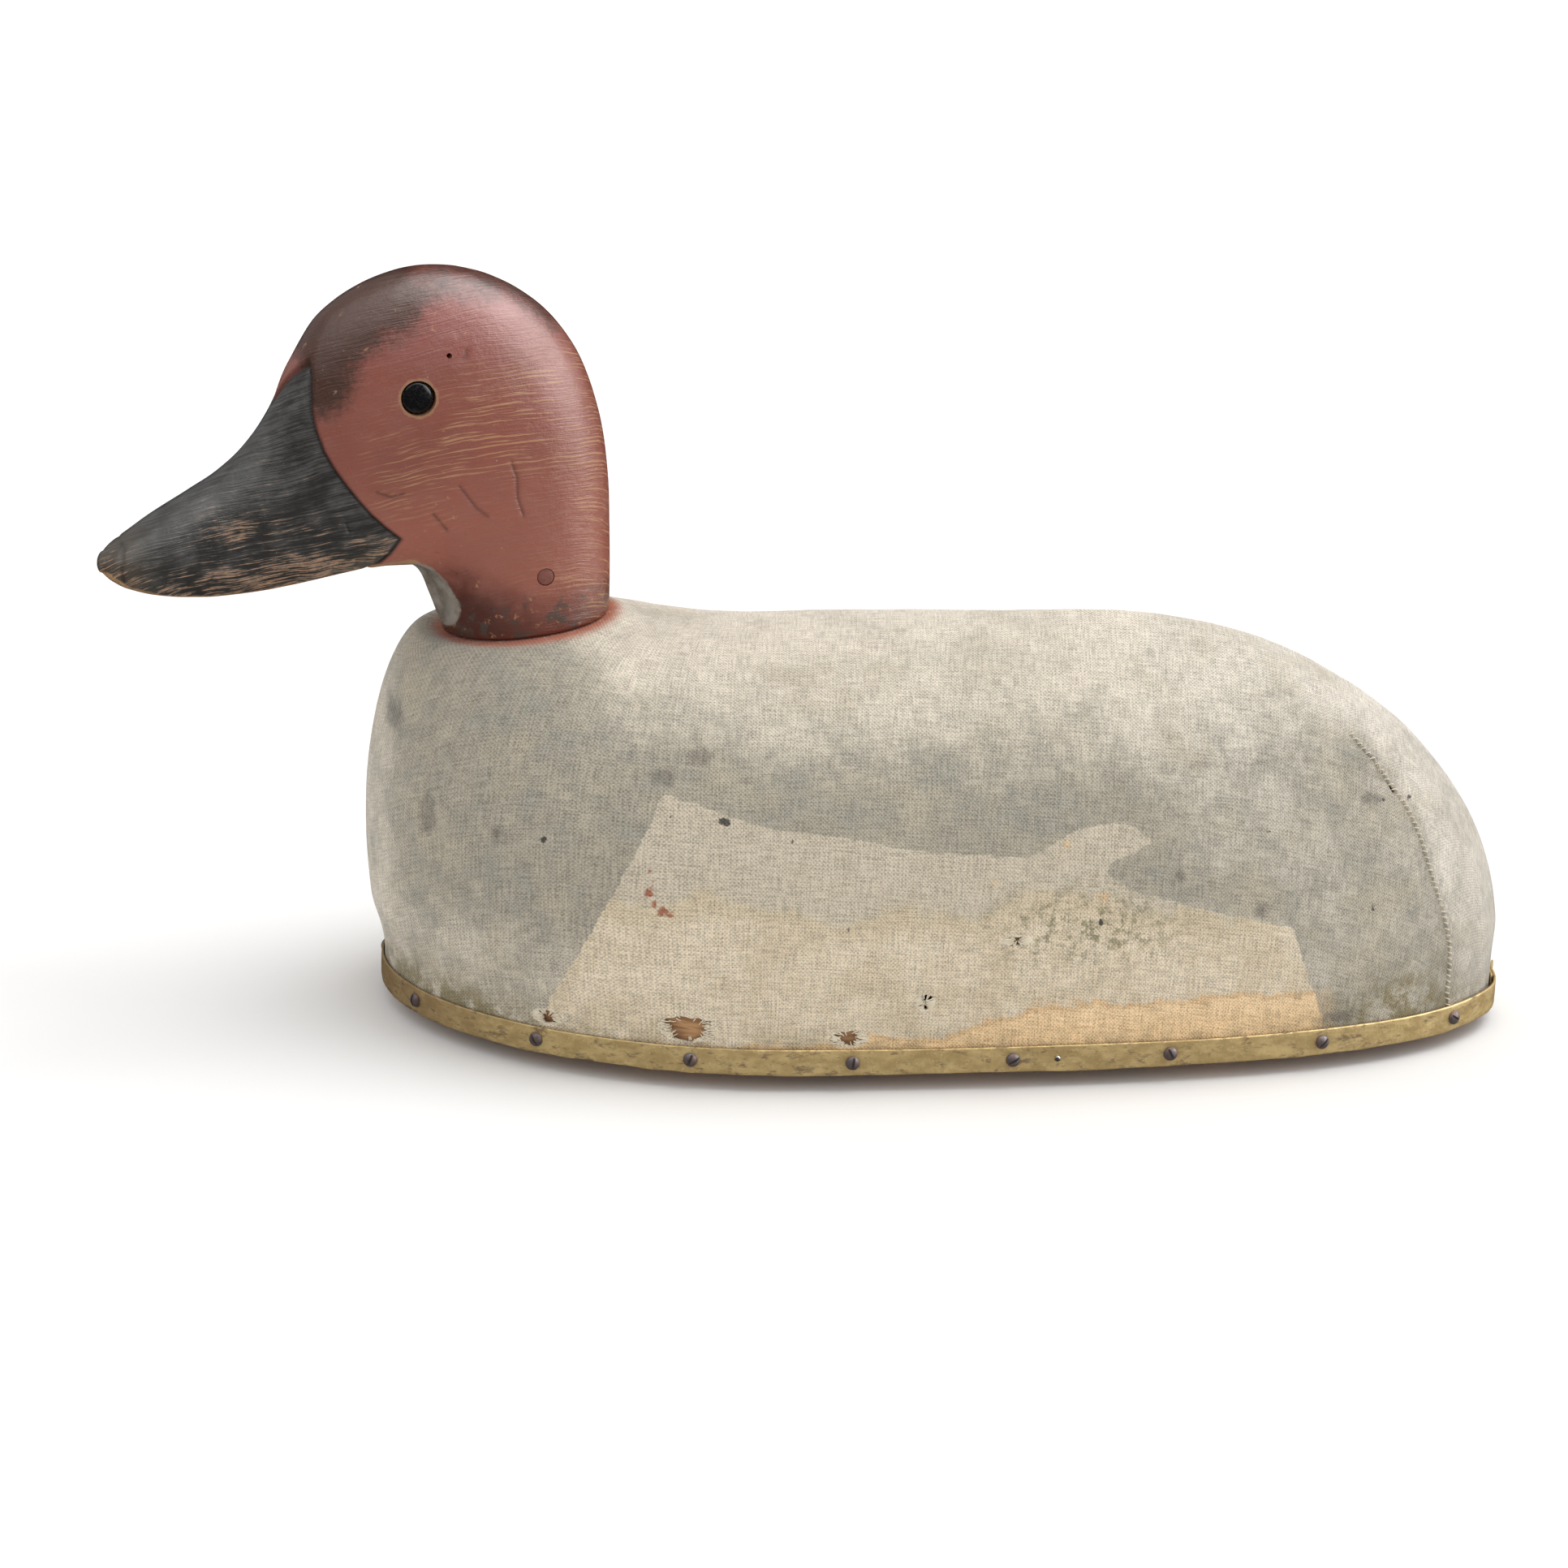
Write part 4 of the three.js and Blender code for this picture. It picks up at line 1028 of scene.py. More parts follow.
# In the same way, with half a width and half a height at the end.
SMUDGES = [
    (-1, -97, 110, 8, 4), (-1, -84, 116, 6, 4), (-1, -182, 87, 5, 11), (-1, -156, 86, 3.5, 5),
    (-1, -196, 116, 5, 9), (-1, 158, 97, 6, 3.5), (-1, 118, 63, 5, 4),
    (-1, 150, 20, 11, 4), (-1, 88, 77, 3, 3), (1, 80, 92, 7, 9), (1, -150, 96, 7, 10),
]
RED_SPOTS = [
    (-1, -101, 72, 1.9), (-1, -99, 68, 1.3), (-1, -101, 79, 1.1), (-1, -96, 66, 1.9), (-1, -93, 65, 1.4),
    (-1, -100, 76, 0.9),
]
TEAR_RAGGED = 0.16
# Each tear: its middle, its length and height, and its seed.
TEARS = {
    "tear_breast": ((-136.5, -80, 20.2), (10, 4.8), 31),
    "tear_large": ((-86, -94, 22.6), (18.5, 9), 32),
    "tear_middle": ((-29, -93, 20), (12, 5.4), 33),
    "tear_square": ((-2, -92, 34), (6, 5.4), 34),
    "tear_slit": ((30, -86, 56), (8.5, 2.8), 35),
}


def canvas_relief(points, share):
    """How far the stretched canvas stands out of the plain form."""
    x, y, z = points[..., 0], points[..., 1], points[..., 2]
    rise = 0.30 * unevenness(points, 46, 41) + 0.12 * unevenness(points, 17, 42)
    # Valleys behind the shoulders.
    rise -= 0.9 * bell(x + 77, 45) * bell(np.abs(y) - 50, 22) * smooth((z - 95) / 20)
    crease = path_distance(points, CREASE)
    rise += 0.55 * bell(crease, 3.2) - 0.35 * bell(crease - 6, 4.5)
    # Each screw pulls the cloth in, and it stands out between them.
    away = share * SCREW_COUNT - SCREW_FIRST
    pull = 0.5 + 0.5 * np.cos(TURN * away)
    rise -= 0.38 * pull * bell(z - 17, 11)
    rise += 0.25 * (1 - pull) * bell(z - 20, 9)
    seat = np.hypot(x - SEAT[0], y)
    return rise * smooth((z - SKIRT_TOP_Z + 3) / 6) * smooth((seat - 36) / 16 + (z < 100))


def canvas_grid():
    """Outer points of the canvas, their normals, and their places on the cloth laid flat."""
    share = np.arange(CANVAS_COLUMNS) / CANVAS_COLUMNS
    points = body_profiles(angle_at(share), CANVAS_ROWS)
    normal = grid_normals(points)
    normal[-1] = (0, 0, 1)
    relief = canvas_relief(points, share[None, :])
    outer = points + normal * relief[..., None]
    return outer, normal, cloth_places(points, normal)


def cloth_places(points, normal):
    """Places on the cloth, whose threads run along the body and across it down both sides."""
    lift = np.maximum(normal[..., 2], 0) + CLOTH_TURN
    across = np.stack([0 * lift, lift, -normal[..., 1]], axis=-1)
    across -= normal * (across * normal).sum(axis=-1, keepdims=True)
    across /= np.linalg.norm(across, axis=-1, keepdims=True)
    along = np.cross(across, normal)
    step = points[:-1] - points[1:]
    moves = np.stack([(step * way[:-1]).sum(axis=-1) for way in (along, across)], axis=-1)
    flat = points[-1, :, :2] + down_from_ridge(moves)
    flat[..., 1] = -np.abs(flat[..., 1])
    to_middle, breast = breast_places(points)
    share = smooth((to_middle - 0.6) / 0.4)[..., None]
    flat = flat * share + breast * (1 - share)
    return np.concatenate([flat, 0 * flat[..., :1]], axis=-1)


def breast_places(points):
    """Share of the way from the front to the widest point, and places on the breast's cloth.

    There the threads run level round the body and straight down it.
    """
    steps = np.linalg.norm(np.diff(points, axis=1, append=points[:, :1]), axis=-1)
    round_row = np.cumsum(steps, axis=1) - steps
    from_front = np.abs(round_row - round_row[:, HALF_ROUND:HALF_ROUND + 1])
    widest = np.argmax(points[0, :, 1])
    to_middle = from_front / from_front[:, widest:widest + 1]
    down = down_from_ridge(np.linalg.norm(np.diff(points, axis=0), axis=-1))
    return to_middle, np.stack([BODY_MID_X - BREAST_CLOTH * (1 - to_middle), -down], axis=-1)


def down_from_ridge(steps):
    """Sums of the steps between rows, from nothing on the ridge to the most at the foot."""
    return np.concatenate([np.cumsum(steps[::-1], axis=0)[::-1], 0 * steps[:1]])


def shared_ridge(grid):
    """Rows below the ridge, then one line of ridge points that both sides share."""
    return np.concatenate([grid[:-1].reshape(-1, grid.shape[-1]), grid[-1, :HALF_ROUND + 1]])


def shell_faces():
    """Faces of one canvas layer, whose two sides share the ridge points."""
    j, i = np.mgrid[0:CANVAS_ROWS, 0:CANVAS_COLUMNS]
    ridge_start = CANVAS_ROWS * CANVAS_COLUMNS

    def at(row, column):
        column = column % CANVAS_COLUMNS
        shared = ridge_start + np.minimum(column, CANVAS_COLUMNS - column)
        return np.where(row < CANVAS_ROWS, row * CANVAS_COLUMNS + column, shared)

    return np.stack([at(j, i), at(j, i + 1), at(j + 1, i + 1), at(j + 1, i)], axis=-1).reshape(-1, 4)


def canvas_shell(outer, normal):
    """The canvas as a thin closed shell."""
    inner = outer - normal * CANVAS
    inner[0, :, 2] = outer[0, :, 2]
    top = shared_ridge(outer)
    under = shared_ridge(inner)
    for layer in (top, under):
        layer[-(HALF_ROUND + 1):, 1] = 0
    count = len(top)
    faces = shell_faces()
    # The first and last ridge faces fold to triangles.
    outside = [list(dict.fromkeys(f)) for f in faces.tolist()]
    inside = [[v + count for v in f[::-1]] for f in outside]
    hem = [[i + count, (i + 1) % CANVAS_COLUMNS + count, (i + 1) % CANVAS_COLUMNS, i]
           for i in range(CANVAS_COLUMNS)]
    points = np.concatenate([top, under])
    return mesh_object("canvas", in_frame(points), outside + inside + hem)


def strongest(points, marks, strength, elsewhere):
    """The strongest of many marks at each point, each on its own side of the body."""
    near = [np.where(points[:, 1] * side > 0, strength(*size), elsewhere) for side, *size in marks]
    return np.maximum.reduce(near)


def canvas_marks(piece):
    """Stores where the patch, the stains and the marks lie."""
    p = body_points_of(piece)
    x, y, z = p[:, 0], p[:, 1], p[:, 2]
    left = y < 0
    flat = p[:, [0, 2]]
    patch = np.where(left, inside_distance(flat, PATCH), -40)
    mark(piece, "patch", patch)
    mark(piece, "mold", np.where(left, bell(x - 56, 34) * bell(z - 60, 15), 0))
    mark(piece, "grey", grey_paint_and_rim_light(x, z, patch))

    # Rust from the screws rises higher towards the tail; on the right it is only a trace.
    hem = smooth((26 + 12 * smooth((x + 5) / 55) - z) / 15)
    strong = 1.15 * smooth((x + 75) / 60) * smooth((152 - x) / 8)
    weak = 0.42 * smooth((x + 136) / 8) * smooth((-30 - x) / 20) * smooth((27 - z) / 9)
    mark(piece, "rust", np.where(left, (strong + weak) * hem, 0.35 * hem * bell(x - 40, 60)))
    soil = 0.5 * bell(z - 15, 7) + 1.2 * bell(z - 24, 12) * bell(x - 172, 22)
    soil += 0.75 * bell(z - 18, 13) * smooth((-128 - x) / 40)
    mark(piece, "soil", soil)

    def round_mark(a, c, r):
        return r - np.hypot(x - a, z - c)

    def long_mark(a, c, wide, high):
        return bell(np.hypot((x - a) / wide, (z - c) / high), 1)

    mark(piece, "dots", strongest(p, DOTS, round_mark, -9))
    mark(piece, "spots", strongest(p, RED_SPOTS, round_mark, -9))
    # Painted shade in a line beside the long crease, stored with the smudges.
    crease_shade = bell(path_distance(flat, [(a, c) for a, _, c in CREASE]) - 2, 2.0)
    smudges = 0.95 * strongest(p, SMUDGES, long_mark, 0)
    mark(piece, "smudge_and_crease_shade", np.maximum(smudges, np.where(left, 0.55 * crease_shade, 0)))
    mark(piece, "fray", np.maximum.reduce([tear_nearness(p, *tear) for tear in TEARS.values()]))

    # Red paint rubbed off the head's foot on to the canvas round its seat.
    away = np.hypot(x - SEAT[0], y) - 29.5
    mark(piece, "halo", np.where(z > 110, smooth(1.15 - away / 7), 0))


def grey_paint_and_rim_light(x, z, patch):
    """How much of the grey paint is left: most low on the sides, little behind the tail's seam, and less at the
    breast's front end, partly bleached and partly painted rim light.
    """
    breast = smooth((-100 - x) / 50)
    # The last 12 mm of the breast's front end lose grey: partly bleaching, partly painted rim light.
    grey = smooth((143 + 40 * breast - z) / 46) * (1 - 0.6 * smooth((-190 - x) / 12))
    bleached = 0.4 * bell(x - 88, 42) + 0.2 * smooth((x - 90) / 40) + 0.55 * breast * smooth((66 - z) / 24)
    grey = grey * (1 - bleached) + 0.42 * bell(patch + 5, 9) * smooth((z - 60) / 14)
    seam = SEAM[::-1] + [(120, -20, 150)]
    seam_x = np.interp(z, [place[2] for place in seam], [place[0] for place in seam])
    return 0.15 + 0.8 * grey * (1 - 0.75 * smooth((x - seam_x) / 6))


def tear_nearness(points, place, size, _):
    """How near points lie to a tear's edge, 1 on it."""
    away = points - np.array(place)
    high = np.hypot(away[:, 1] * 0.3, away[:, 2])
    share = np.hypot(away[:, 0] / (size[0] / 2), high / (size[1] / 2))
    return bell(np.maximum(share - 1, 0) * size[1] / 2, 1.0)


def match_cloth(piece, outer, cloth):
    """Copies each point's place on the flat cloth from the nearest point of the plain grid."""
    grid = outer.reshape(-1, 3)
    tree = KDTree(len(grid))
    for k, point in enumerate(grid):
        tree.insert(point, k)
    tree.balance()
    places = cloth.reshape(-1, 3)
    mark(piece, "cloth", [places[tree.find(p)[1]] for p in body_points_of(piece)])


class Surface:
    """Finds the nearest place on the canvas, and its directions there."""

    def __init__(self, piece):
        points = body_points_of(piece)
        self.tree = BVHTree.FromPolygons(points.tolist(), [tuple(f.vertices) for f in piece.data.polygons])

    def at(self, point):
        place, normal, _, _ = self.tree.find_nearest(Vector(point))
        return place, normal

    def axes(self, point):
        place, normal = self.at(point)
        along = Vector((0, 0, 1)).cross(normal).normalized()
        return place, along, normal.cross(along), normal


def tear_edge(surface, place, size, seed, count=26):
    """Places round a tear's ragged edge, then its middle and its directions."""
    rng = random.Random(seed)
    centre, along, up, normal = surface.axes(place)
    edge = []
    for k in range(count):
        r = (1 + rng.uniform(-TEAR_RAGGED, TEAR_RAGGED)) / 2
        a = TURN * k / count
        edge.append(centre + along * (math.cos(a) * size[0] * r) + up * (math.sin(a) * size[1] * r))
    return edge, centre, along, up, normal


def tear_cutter(surface, place, size, seed):
    edge, *_, normal = tear_edge(surface, place, size, seed)
    return loft("cutter", [[in_frame(p + normal * depth) for p in edge] for depth in (-5, 5)])


def tear_threads(surface, name, place, size, seed):
    """Loose warp and weft ends round a tear."""
    rng = random.Random(seed + 100)
    edge, centre, along, up, _ = tear_edge(surface, place, size, seed, 78)
    tubes = []
    for point in edge:
        away = point - centre
        on, out = surface.at(point)
        sideways = abs(away.dot(along)) / size[0] * 2
        # Most ends hang loose at the tear's two sides.
        if rng.random() > 0.16 + 0.95 * sideways ** 2:
            continue
        inward = -away.normalized()
        reach = rng.uniform(0.6, 1.4) + 2.0 * sideways ** 2
        lift = rng.uniform(-0.5, 0.7)
        bend = up * rng.uniform(-0.9, 0.9) * (0.4 + sideways)
        start = on - inward * 0.5 + out * 0.1
        middle = on + inward * reach * 0.5 + out * (0.25 + lift * 0.4) + bend * 0.35
        end = on + inward * reach + out * (0.1 + lift) + bend
        path = curve_through([start, middle, end], 0.3)
        tubes.append(tube_rings(path, rng.uniform(0.2, 0.32), 6, 0.4))
    return join_tubes(name, tubes, 6)


def seam_threads(surface):
    """Small slanting stitches down the seam, and loose ends where it has opened."""
    rng = random.Random(51)
    line = curve_through(SEAM, STITCH_STEP)
    tubes = []
    for here, ahead in zip(line[:-1], line[1:]):
        place, normal = surface.at(here)
        along = (ahead - here).normalized()
        side = normal.cross(along).normalized()
        slant = along * rng.uniform(0.5, 0.9)
        a = place - side * rng.uniform(0.7, 1.0) - slant - normal * 0.2
        b = place + normal * 1.0
        c = place + side * rng.uniform(0.7, 1.0) + slant - normal * 0.2
        tubes.append(tube_rings(curve_through([a, b, c], 0.35), STITCH_R, 6))
    opening = Vector(SEAM_OPEN[0])
    for _ in range(LOOSE_ENDS):
        place, normal = surface.at(opening + Vector((rng.uniform(-4, 4), 0, rng.uniform(-7, 7))))
        drift = Vector((rng.uniform(-1, 1), 0, rng.uniform(-1, 1))).normalized()
        end = place + drift * rng.uniform(0.8, 1.8) + normal * 0.3
        path = curve_through([place - drift * 0.8, place + normal * 0.5, end], 0.4)
        tubes.append(tube_rings(path, STITCH_R / 2, 6, 0.4))
    return join_tubes("seam_threads", tubes, 6)


def seam_fold(surface):
    """The turned-under edge of one panel, lying on the other along the seam."""
    rings = []
    line = curve_through(SEAM, 1.0)
    for k, here in enumerate(line):
        place, normal = surface.at(here)
        along = (line[min(k + 1, len(line) - 1)] - line[max(k - 1, 0)]).normalized()
        side = along.cross(normal).normalized()
        scale = float(smooth(k / 6)) * 0.85 + 0.15
        waver = 0.15 * math.sin(k * 0.9) + 0.1 * math.sin(k * 2.3)
        rings.append([in_frame(place + side * (a + waver) * scale + normal * b * scale)
                      for a, b in FOLD_SECTION])
    return loft("seam_fold", rings)


def add_canvas():
    outer, normal, cloth = canvas_grid()
    canvas = canvas_shell(outer, normal)
    surface = Surface(canvas)
    cutters = [tear_cutter(surface, *tear) for tear in TEARS.values()]
    cutters.append(tear_cutter(surface, *SEAM_OPEN))
    cutters.append(turned("cutter", [(DOWEL_R + 0.8, -20), (DOWEL_R + 0.8, 5)], 48, seat_matrix(0)))
    cut(canvas, [merged("cutters", cutters + strip_holes(SCREW_HOLE_R))])
    canvas.data.shade_smooth()
    fold = seam_fold(surface)
    look = canvas_look()
    for piece, nodes in ((canvas, ["canvas_cover"]), (fold, [])):
        match_cloth(piece, outer, cloth)
        canvas_marks(piece)
        finish_piece(piece, look, "decoy_body", "canvas", *nodes)
    threads = thread_look()
    loose = [tear_threads(surface, name + "_threads", *tear) for name, tear in TEARS.items()]
    loose.append(seam_threads(surface))
    for piece in loose:
        finish_piece(piece, threads, "decoy_body", "canvas")


# ---------------------------------------------------------------- strip and fastenings

def screw_share(k):
    return (SCREW_FIRST + k) / SCREW_COUNT


def strip_matrix(share, out):
    """Placement, in metres, with +Z out of the strip at a share of the outline."""
    u = float(angle_at(share))
    nx, ny = outline_normal(np.array(u))
    x, y = outline(np.array(u)) + np.array([nx, ny]) * out
    turn = Matrix.Rotation(math.atan2(ny, nx), 4, "Z") @ Matrix.Rotation(math.pi / 2, 4, "Y")
    return Matrix.Translation(Vector(in_frame((x, y, STRIP_BOTTOM_Z + STRIP_HEIGHT / 2)))) @ turn


def strip_holes(radius):
    """Cutters for the strip's screws and, last, its nail."""
    holes = [(screw_share(k), radius) for k in range(SCREW_COUNT)]
    holes.append((NAIL_PLACE / SCREW_COUNT, NAIL_HOLE_R))
    return [turned("cutter", [(r, -13), (r, 3)], 20, strip_matrix(share, 0)) for share, r in holes]


def strip_inner_out(t):
    """How far out the strip's inner face is: it climbs over its own start, and its end is lifted."""
    lap = smooth((t - STRIP_RAMP[0]) / (STRIP_RAMP[1] - STRIP_RAMP[0]))
    lift = np.maximum(0, (t - STRIP_LIFT_FROM) / (1 - STRIP_LIFT_FROM)) ** 2
    return GAP + lap * (STRIP + GAP) + lift * STRIP_LIFT


# Shares of the strip's height at which its section has points.
STRIP_LEVELS = [0, 0.06, 0.2, 0.4, 0.6, 0.8, 0.94, 1]
STRIP_ROUNDING = 0.12


def add_strip(look):
    """A thin hammered strip, wavy along its lower edge, once round the skirt."""
    t = np.linspace(0, 1, STRIP_STATIONS)
    u = STRIP_START + (TURN + STRIP_LAP) * t
    foot = outline(u)
    normal = outline_normal(u)
    base = strip_inner_out(t)
    length = t * outline_lengths()[1][-1]
    line = np.stack([length, 0 * length, 0 * length], axis=-1)
    wavy = 0.55 * unevenness(line, 26, 61) + 0.35 * unevenness(line, 8, 62)
    top_wave = 0.18 * unevenness(line, 31, 63)
    low = STRIP_BOTTOM_Z - 0.2 + 0.5 * wavy
    high = STRIP_BOTTOM_Z + STRIP_HEIGHT + top_wave
    section = [(level, 0) for level in STRIP_LEVELS] + [(level, 1) for level in STRIP_LEVELS[::-1]]
    columns = []
    for level, outer in section:
        dent = 0.10 * unevenness(line + (0, 0, level * 9), 14, 64) + 0.12 * (1 - level) * wavy
        rounding = STRIP_ROUNDING if level in (0, 1) else 0
        out = base + np.maximum(dent, -0.15) + rounding + outer * (STRIP - 2 * rounding)
        place = foot + normal * out[:, None]
        columns.append(np.column_stack([place, low + (high - low) * level]))
    strip = loft("brass_strip", in_frame(np.stack(columns, axis=1)))
    cut(strip, [merged("holes", strip_holes(SCREW_HOLE_R))])
    strip.data.shade_smooth()
    finish_piece(strip, look, "decoy_body", "brass_strip", "edge_strip")


def dome(radius, height, steps):
    """Profile of a rounded head above its flat underside."""
    return [(radius * math.cos(a), height * math.sin(a))
            for a in (math.pi / 2 * k / steps * 0.97 for k in range(steps + 1))]


def slot_cutter(matrix, depth_z, angle, width, length):
    """A block that cuts a driver slot across a screw head; `length` is half its own."""
    x, y = length * MM, width / 2 * MM
    rings = [[(-x, -y, z * MM), (x, -y, z * MM), (x, y, z * MM), (-x, y, z * MM)]
             for z in (depth_z, depth_z + 4)]
    return loft("cutter", rings, matrix @ Matrix.Rotation(angle, 4, "Z"))


# Round-head screw and nail: radius and height up from the strip's face.
ROUND_SCREW = [(0.25, -12), (1.1, -10.4), (1.1, -0.4), (2.45, -0.3), (2.62, -0.05)] + dome(2.6, 1.75, 9)
NAIL = [
    (0.1, -12), (0.6, -10.8), (0.6, -0.1), (1.05, 0), (1.12, 0.12), (1.0, 0.45), (0.6, 0.66), (0.2, 0.72),
]
ON_STRIP = STRIP + 2 * GAP


def add_strip_screws(look):
    rng = random.Random(71)
    for k in range(SCREW_COUNT):
        matrix = strip_matrix(screw_share(k), ON_STRIP)
        screw = turned(f"round_screw_{k + 1:02d}", ROUND_SCREW, 40, matrix)
        cut(screw, [slot_cutter(matrix, 0.8, rng.uniform(0, math.pi), rng.uniform(0.8, 0.95), 4)])
        sharpen(screw)
        finish_piece(screw, look, "decoy_body", "steel_fastenings", f"strip_screw_{k + 1:02d}")


def sharpen(piece, angle=32):
    """Smooth shading, with edges kept where faces meet steeply."""
    piece.data.shade_smooth()
    piece.data.set_sharp_from_angle(angle=math.radians(angle))


def add_nail(look):
    nail = turned("bright_nail", NAIL, 28, strip_matrix(NAIL_PLACE / SCREW_COUNT, ON_STRIP))
    finish_piece(nail, look, "decoy_body", "bright_nail", "strip_nail")


BALLAST_X = -30
BALLAST_LENGTH = 200
BALLAST_WIDTH = 76
BALLAST_HEIGHT = 5.7
BALLAST_CORNER = 6
# Heights of the plate's rings, and how far in each lies.
BALLAST_LEVELS = [
    (0, 1.5), (0.25, 0.6), (0.9, 0.1), (2.5, 0), (4.9, 0.15), (5.5, 0.5), (BALLAST_HEIGHT, 1.2),
]
BALLAST_SCREWS = [(BALLAST_X + a * 84, b * 24) for a, b in ((-1, -1), (-1, 1), (1, -1), (1, 1))]
BOARD_SCREWS = {
    "board_screw_breast_left": (-148, -44), "board_screw_breast_right": (-148, 44),
    "board_screw_rib_front": (-92, 48), "board_screw_rib_middle": (25, 48),
    "board_screw_rib_rear": (138, 30), "board_screw_tail": (182, 0),
}
# Every flat-head screw: name, place, height of its head and length.
FLAT_SCREWS = [(f"ballast_screw_{k + 1}", *place, 0.6, 19) for k, place in enumerate(BALLAST_SCREWS)]
FLAT_SCREWS += [(name, *place, BASE_Z + 2.5, 42) for name, place in BOARD_SCREWS.items()]
FLAT_HEAD_R = 4.2
FLAT_SHANK_R = 1.9
STAPLE_X = -172
STAPLE_HALF = 8
STAPLE_R = 1.0


def flat_screw_hole(_, x, y, head_z, length):
    """Room for a flat-head screw driven upwards."""
    wide = FLAT_HEAD_R + 0.35
    narrow = FLAT_SHANK_R + 0.4
    profile = [(wide, -20), (wide, head_z), (narrow, head_z + 3.2), (narrow, head_z + length + 0.4)]
    return turned("cutter", profile, 32, Matrix.Translation(Vector(in_frame((x, y, 0)))))


def add_flat_screws(look):
    rng = random.Random(72)
    for name, x, y, head_z, length in FLAT_SCREWS:
        matrix = Matrix.Translation(Vector(in_frame((x, y, head_z)))) @ Matrix.Rotation(math.pi, 4, "X")
        profile = [(0.3, -length), (FLAT_SHANK_R, 3 - length), (FLAT_SHANK_R, -3)]
        profile += [(FLAT_HEAD_R - 0.2, -0.25), (FLAT_HEAD_R, -0.1), (FLAT_HEAD_R - 0.1, 0)]
        screw = turned("flat_" + name, profile, 40, matrix)
        cut(screw, [slot_cutter(matrix, -1.1, rng.uniform(0, math.pi), 1.0, 6)])
        sharpen(screw)
        finish_piece(screw, look, "decoy_body", "steel_fastenings", name)


def add_base_board(look):
    """The thick board that closes the foot of the body."""
    u = angle_at(np.arange(CANVAS_COLUMNS) / CANVAS_COLUMNS)
    low_form = body_profiles(u, CANVAS_ROWS)[:BOARD_ROWS]
    normal = outline_normal(u)
    bottom = BASE_Z - GAP
    levels = [(bottom, 1.6), (bottom + 0.25, 0.8), (bottom + 0.9, 0.2), (bottom + 1.8, 0)]
    levels += [(z, 0) for z in (12, 17, 22, 26, 29.2)] + [(BOARD_TOP_Z, 0.8)]
    rings = []
    for z, inset in levels:
        ring = np.full((CANVAS_COLUMNS, 3), z, float)
        for i, axis in np.ndindex(CANVAS_COLUMNS, 2):
            ring[i, axis] = np.interp(z + 0.5, low_form[:, i, 2], low_form[:, i, axis])
        ring[:, :2] -= normal * (BOARD_INSET + inset)
        ring[:, :2] += normal * (0.12 * unevenness(ring, 20, 81) - 0.1)[:, None]
        rings.append(in_frame(ring))
    board = loft("board", rings)
    cutters = [flat_screw_hole(*screw) for screw in FLAT_SCREWS]
    for y in (-STAPLE_HALF, STAPLE_HALF):
        place = Matrix.Translation(Vector(in_frame((STAPLE_X, y, 0))))
        cutters.append(turned("cutter", [(STAPLE_R + GAP, -2), (STAPLE_R + GAP, 20.4)], 20, place))
    cut(board, [merged("cutters", cutters)])
    *screw_holes, nail_hole = strip_holes(BOARD_HOLE_R)
    cut(board, [merged("holes", screw_holes)])
    cut(board, [nail_hole])
    sharpen(board, 40)
    finish_piece(board, look, "decoy_body", "pine", "base_board")


def ballast_outline():
    """The plate's round-cornered outline about its middle, in steps of about 4 mm."""
    far = BALLAST_LENGTH / 2 - BALLAST_CORNER
    wide = BALLAST_WIDTH / 2 - BALLAST_CORNER
    corners = []
    for cx, cy, start in ((1, 1, 0), (-1, 1, 90), (-1, -1, 180), (1, -1, 270)):
        for k in range(13):
            a = math.radians(start + 90 * k / 12)
            x = cx * far + BALLAST_CORNER * math.cos(a)
            corners.append((x, cy * wide + BALLAST_CORNER * math.sin(a)))
    dense = []
    for (xa, ya), (xb, yb) in zip(corners, corners[1:] + corners[:1]):
        count = max(1, round(math.hypot(xb - xa, yb - ya) / 4))
        dense += [(xa + (xb - xa) * k / count, ya + (yb - ya) * k / count) for k in range(count)]
    return dense


def add_ballast(look):
    """A cast plate with soft, wavy edges, under the board."""
    half = np.array([BALLAST_LENGTH / 2, BALLAST_WIDTH / 2])
    middle = np.array([BALLAST_X, 0])
    plan = np.array(ballast_outline())
    rings = []
    for z, inset in BALLAST_LEVELS:
        flat = middle + plan * (1 - inset / half)
        waver = 0.3 * unevenness(np.column_stack([flat, 0 * flat[:, 0]]), 26, 82) - 0.3
        from_middle = flat - middle
        flat += np.sign(from_middle) * waver[:, None] * (np.abs(from_middle) > half - 3)
        rings.append(in_frame(np.column_stack([flat, np.full(len(flat), z)])))
    plate = loft("lead_plate", rings)
    holes = [flat_screw_hole(*screw) for screw in FLAT_SCREWS[:len(BALLAST_SCREWS)]]
    cut(plate, [merged("cutters", holes)])
    sharpen(plate, 30)
    finish_piece(plate, look, "decoy_body", "lead", "ballast_plate")


def add_staple(look):
    """A bent wire staple whose crown stands clear under the board."""
    low = 1.6
    bend = 3
    path = [(STAPLE_X, -STAPLE_HALF, z) for z in (20, 14, 8, low + bend)]
    path += [(STAPLE_X, bend * (1 - math.cos(a)) - STAPLE_HALF, low + bend * (1 - math.sin(a)))
             for a in (math.pi / 2 * k / 8 for k in range(1, 9))]
    path += [(STAPLE_X, -y, z) for _, y, z in path[::-1]]
    staple = join_tubes("wire_staple", [tube_rings(path, STAPLE_R, 20)], 20)
    finish_piece(staple, look, "decoy_body", "steel_fastenings", "anchor_staple")


# ---------------------------------------------------------------- head

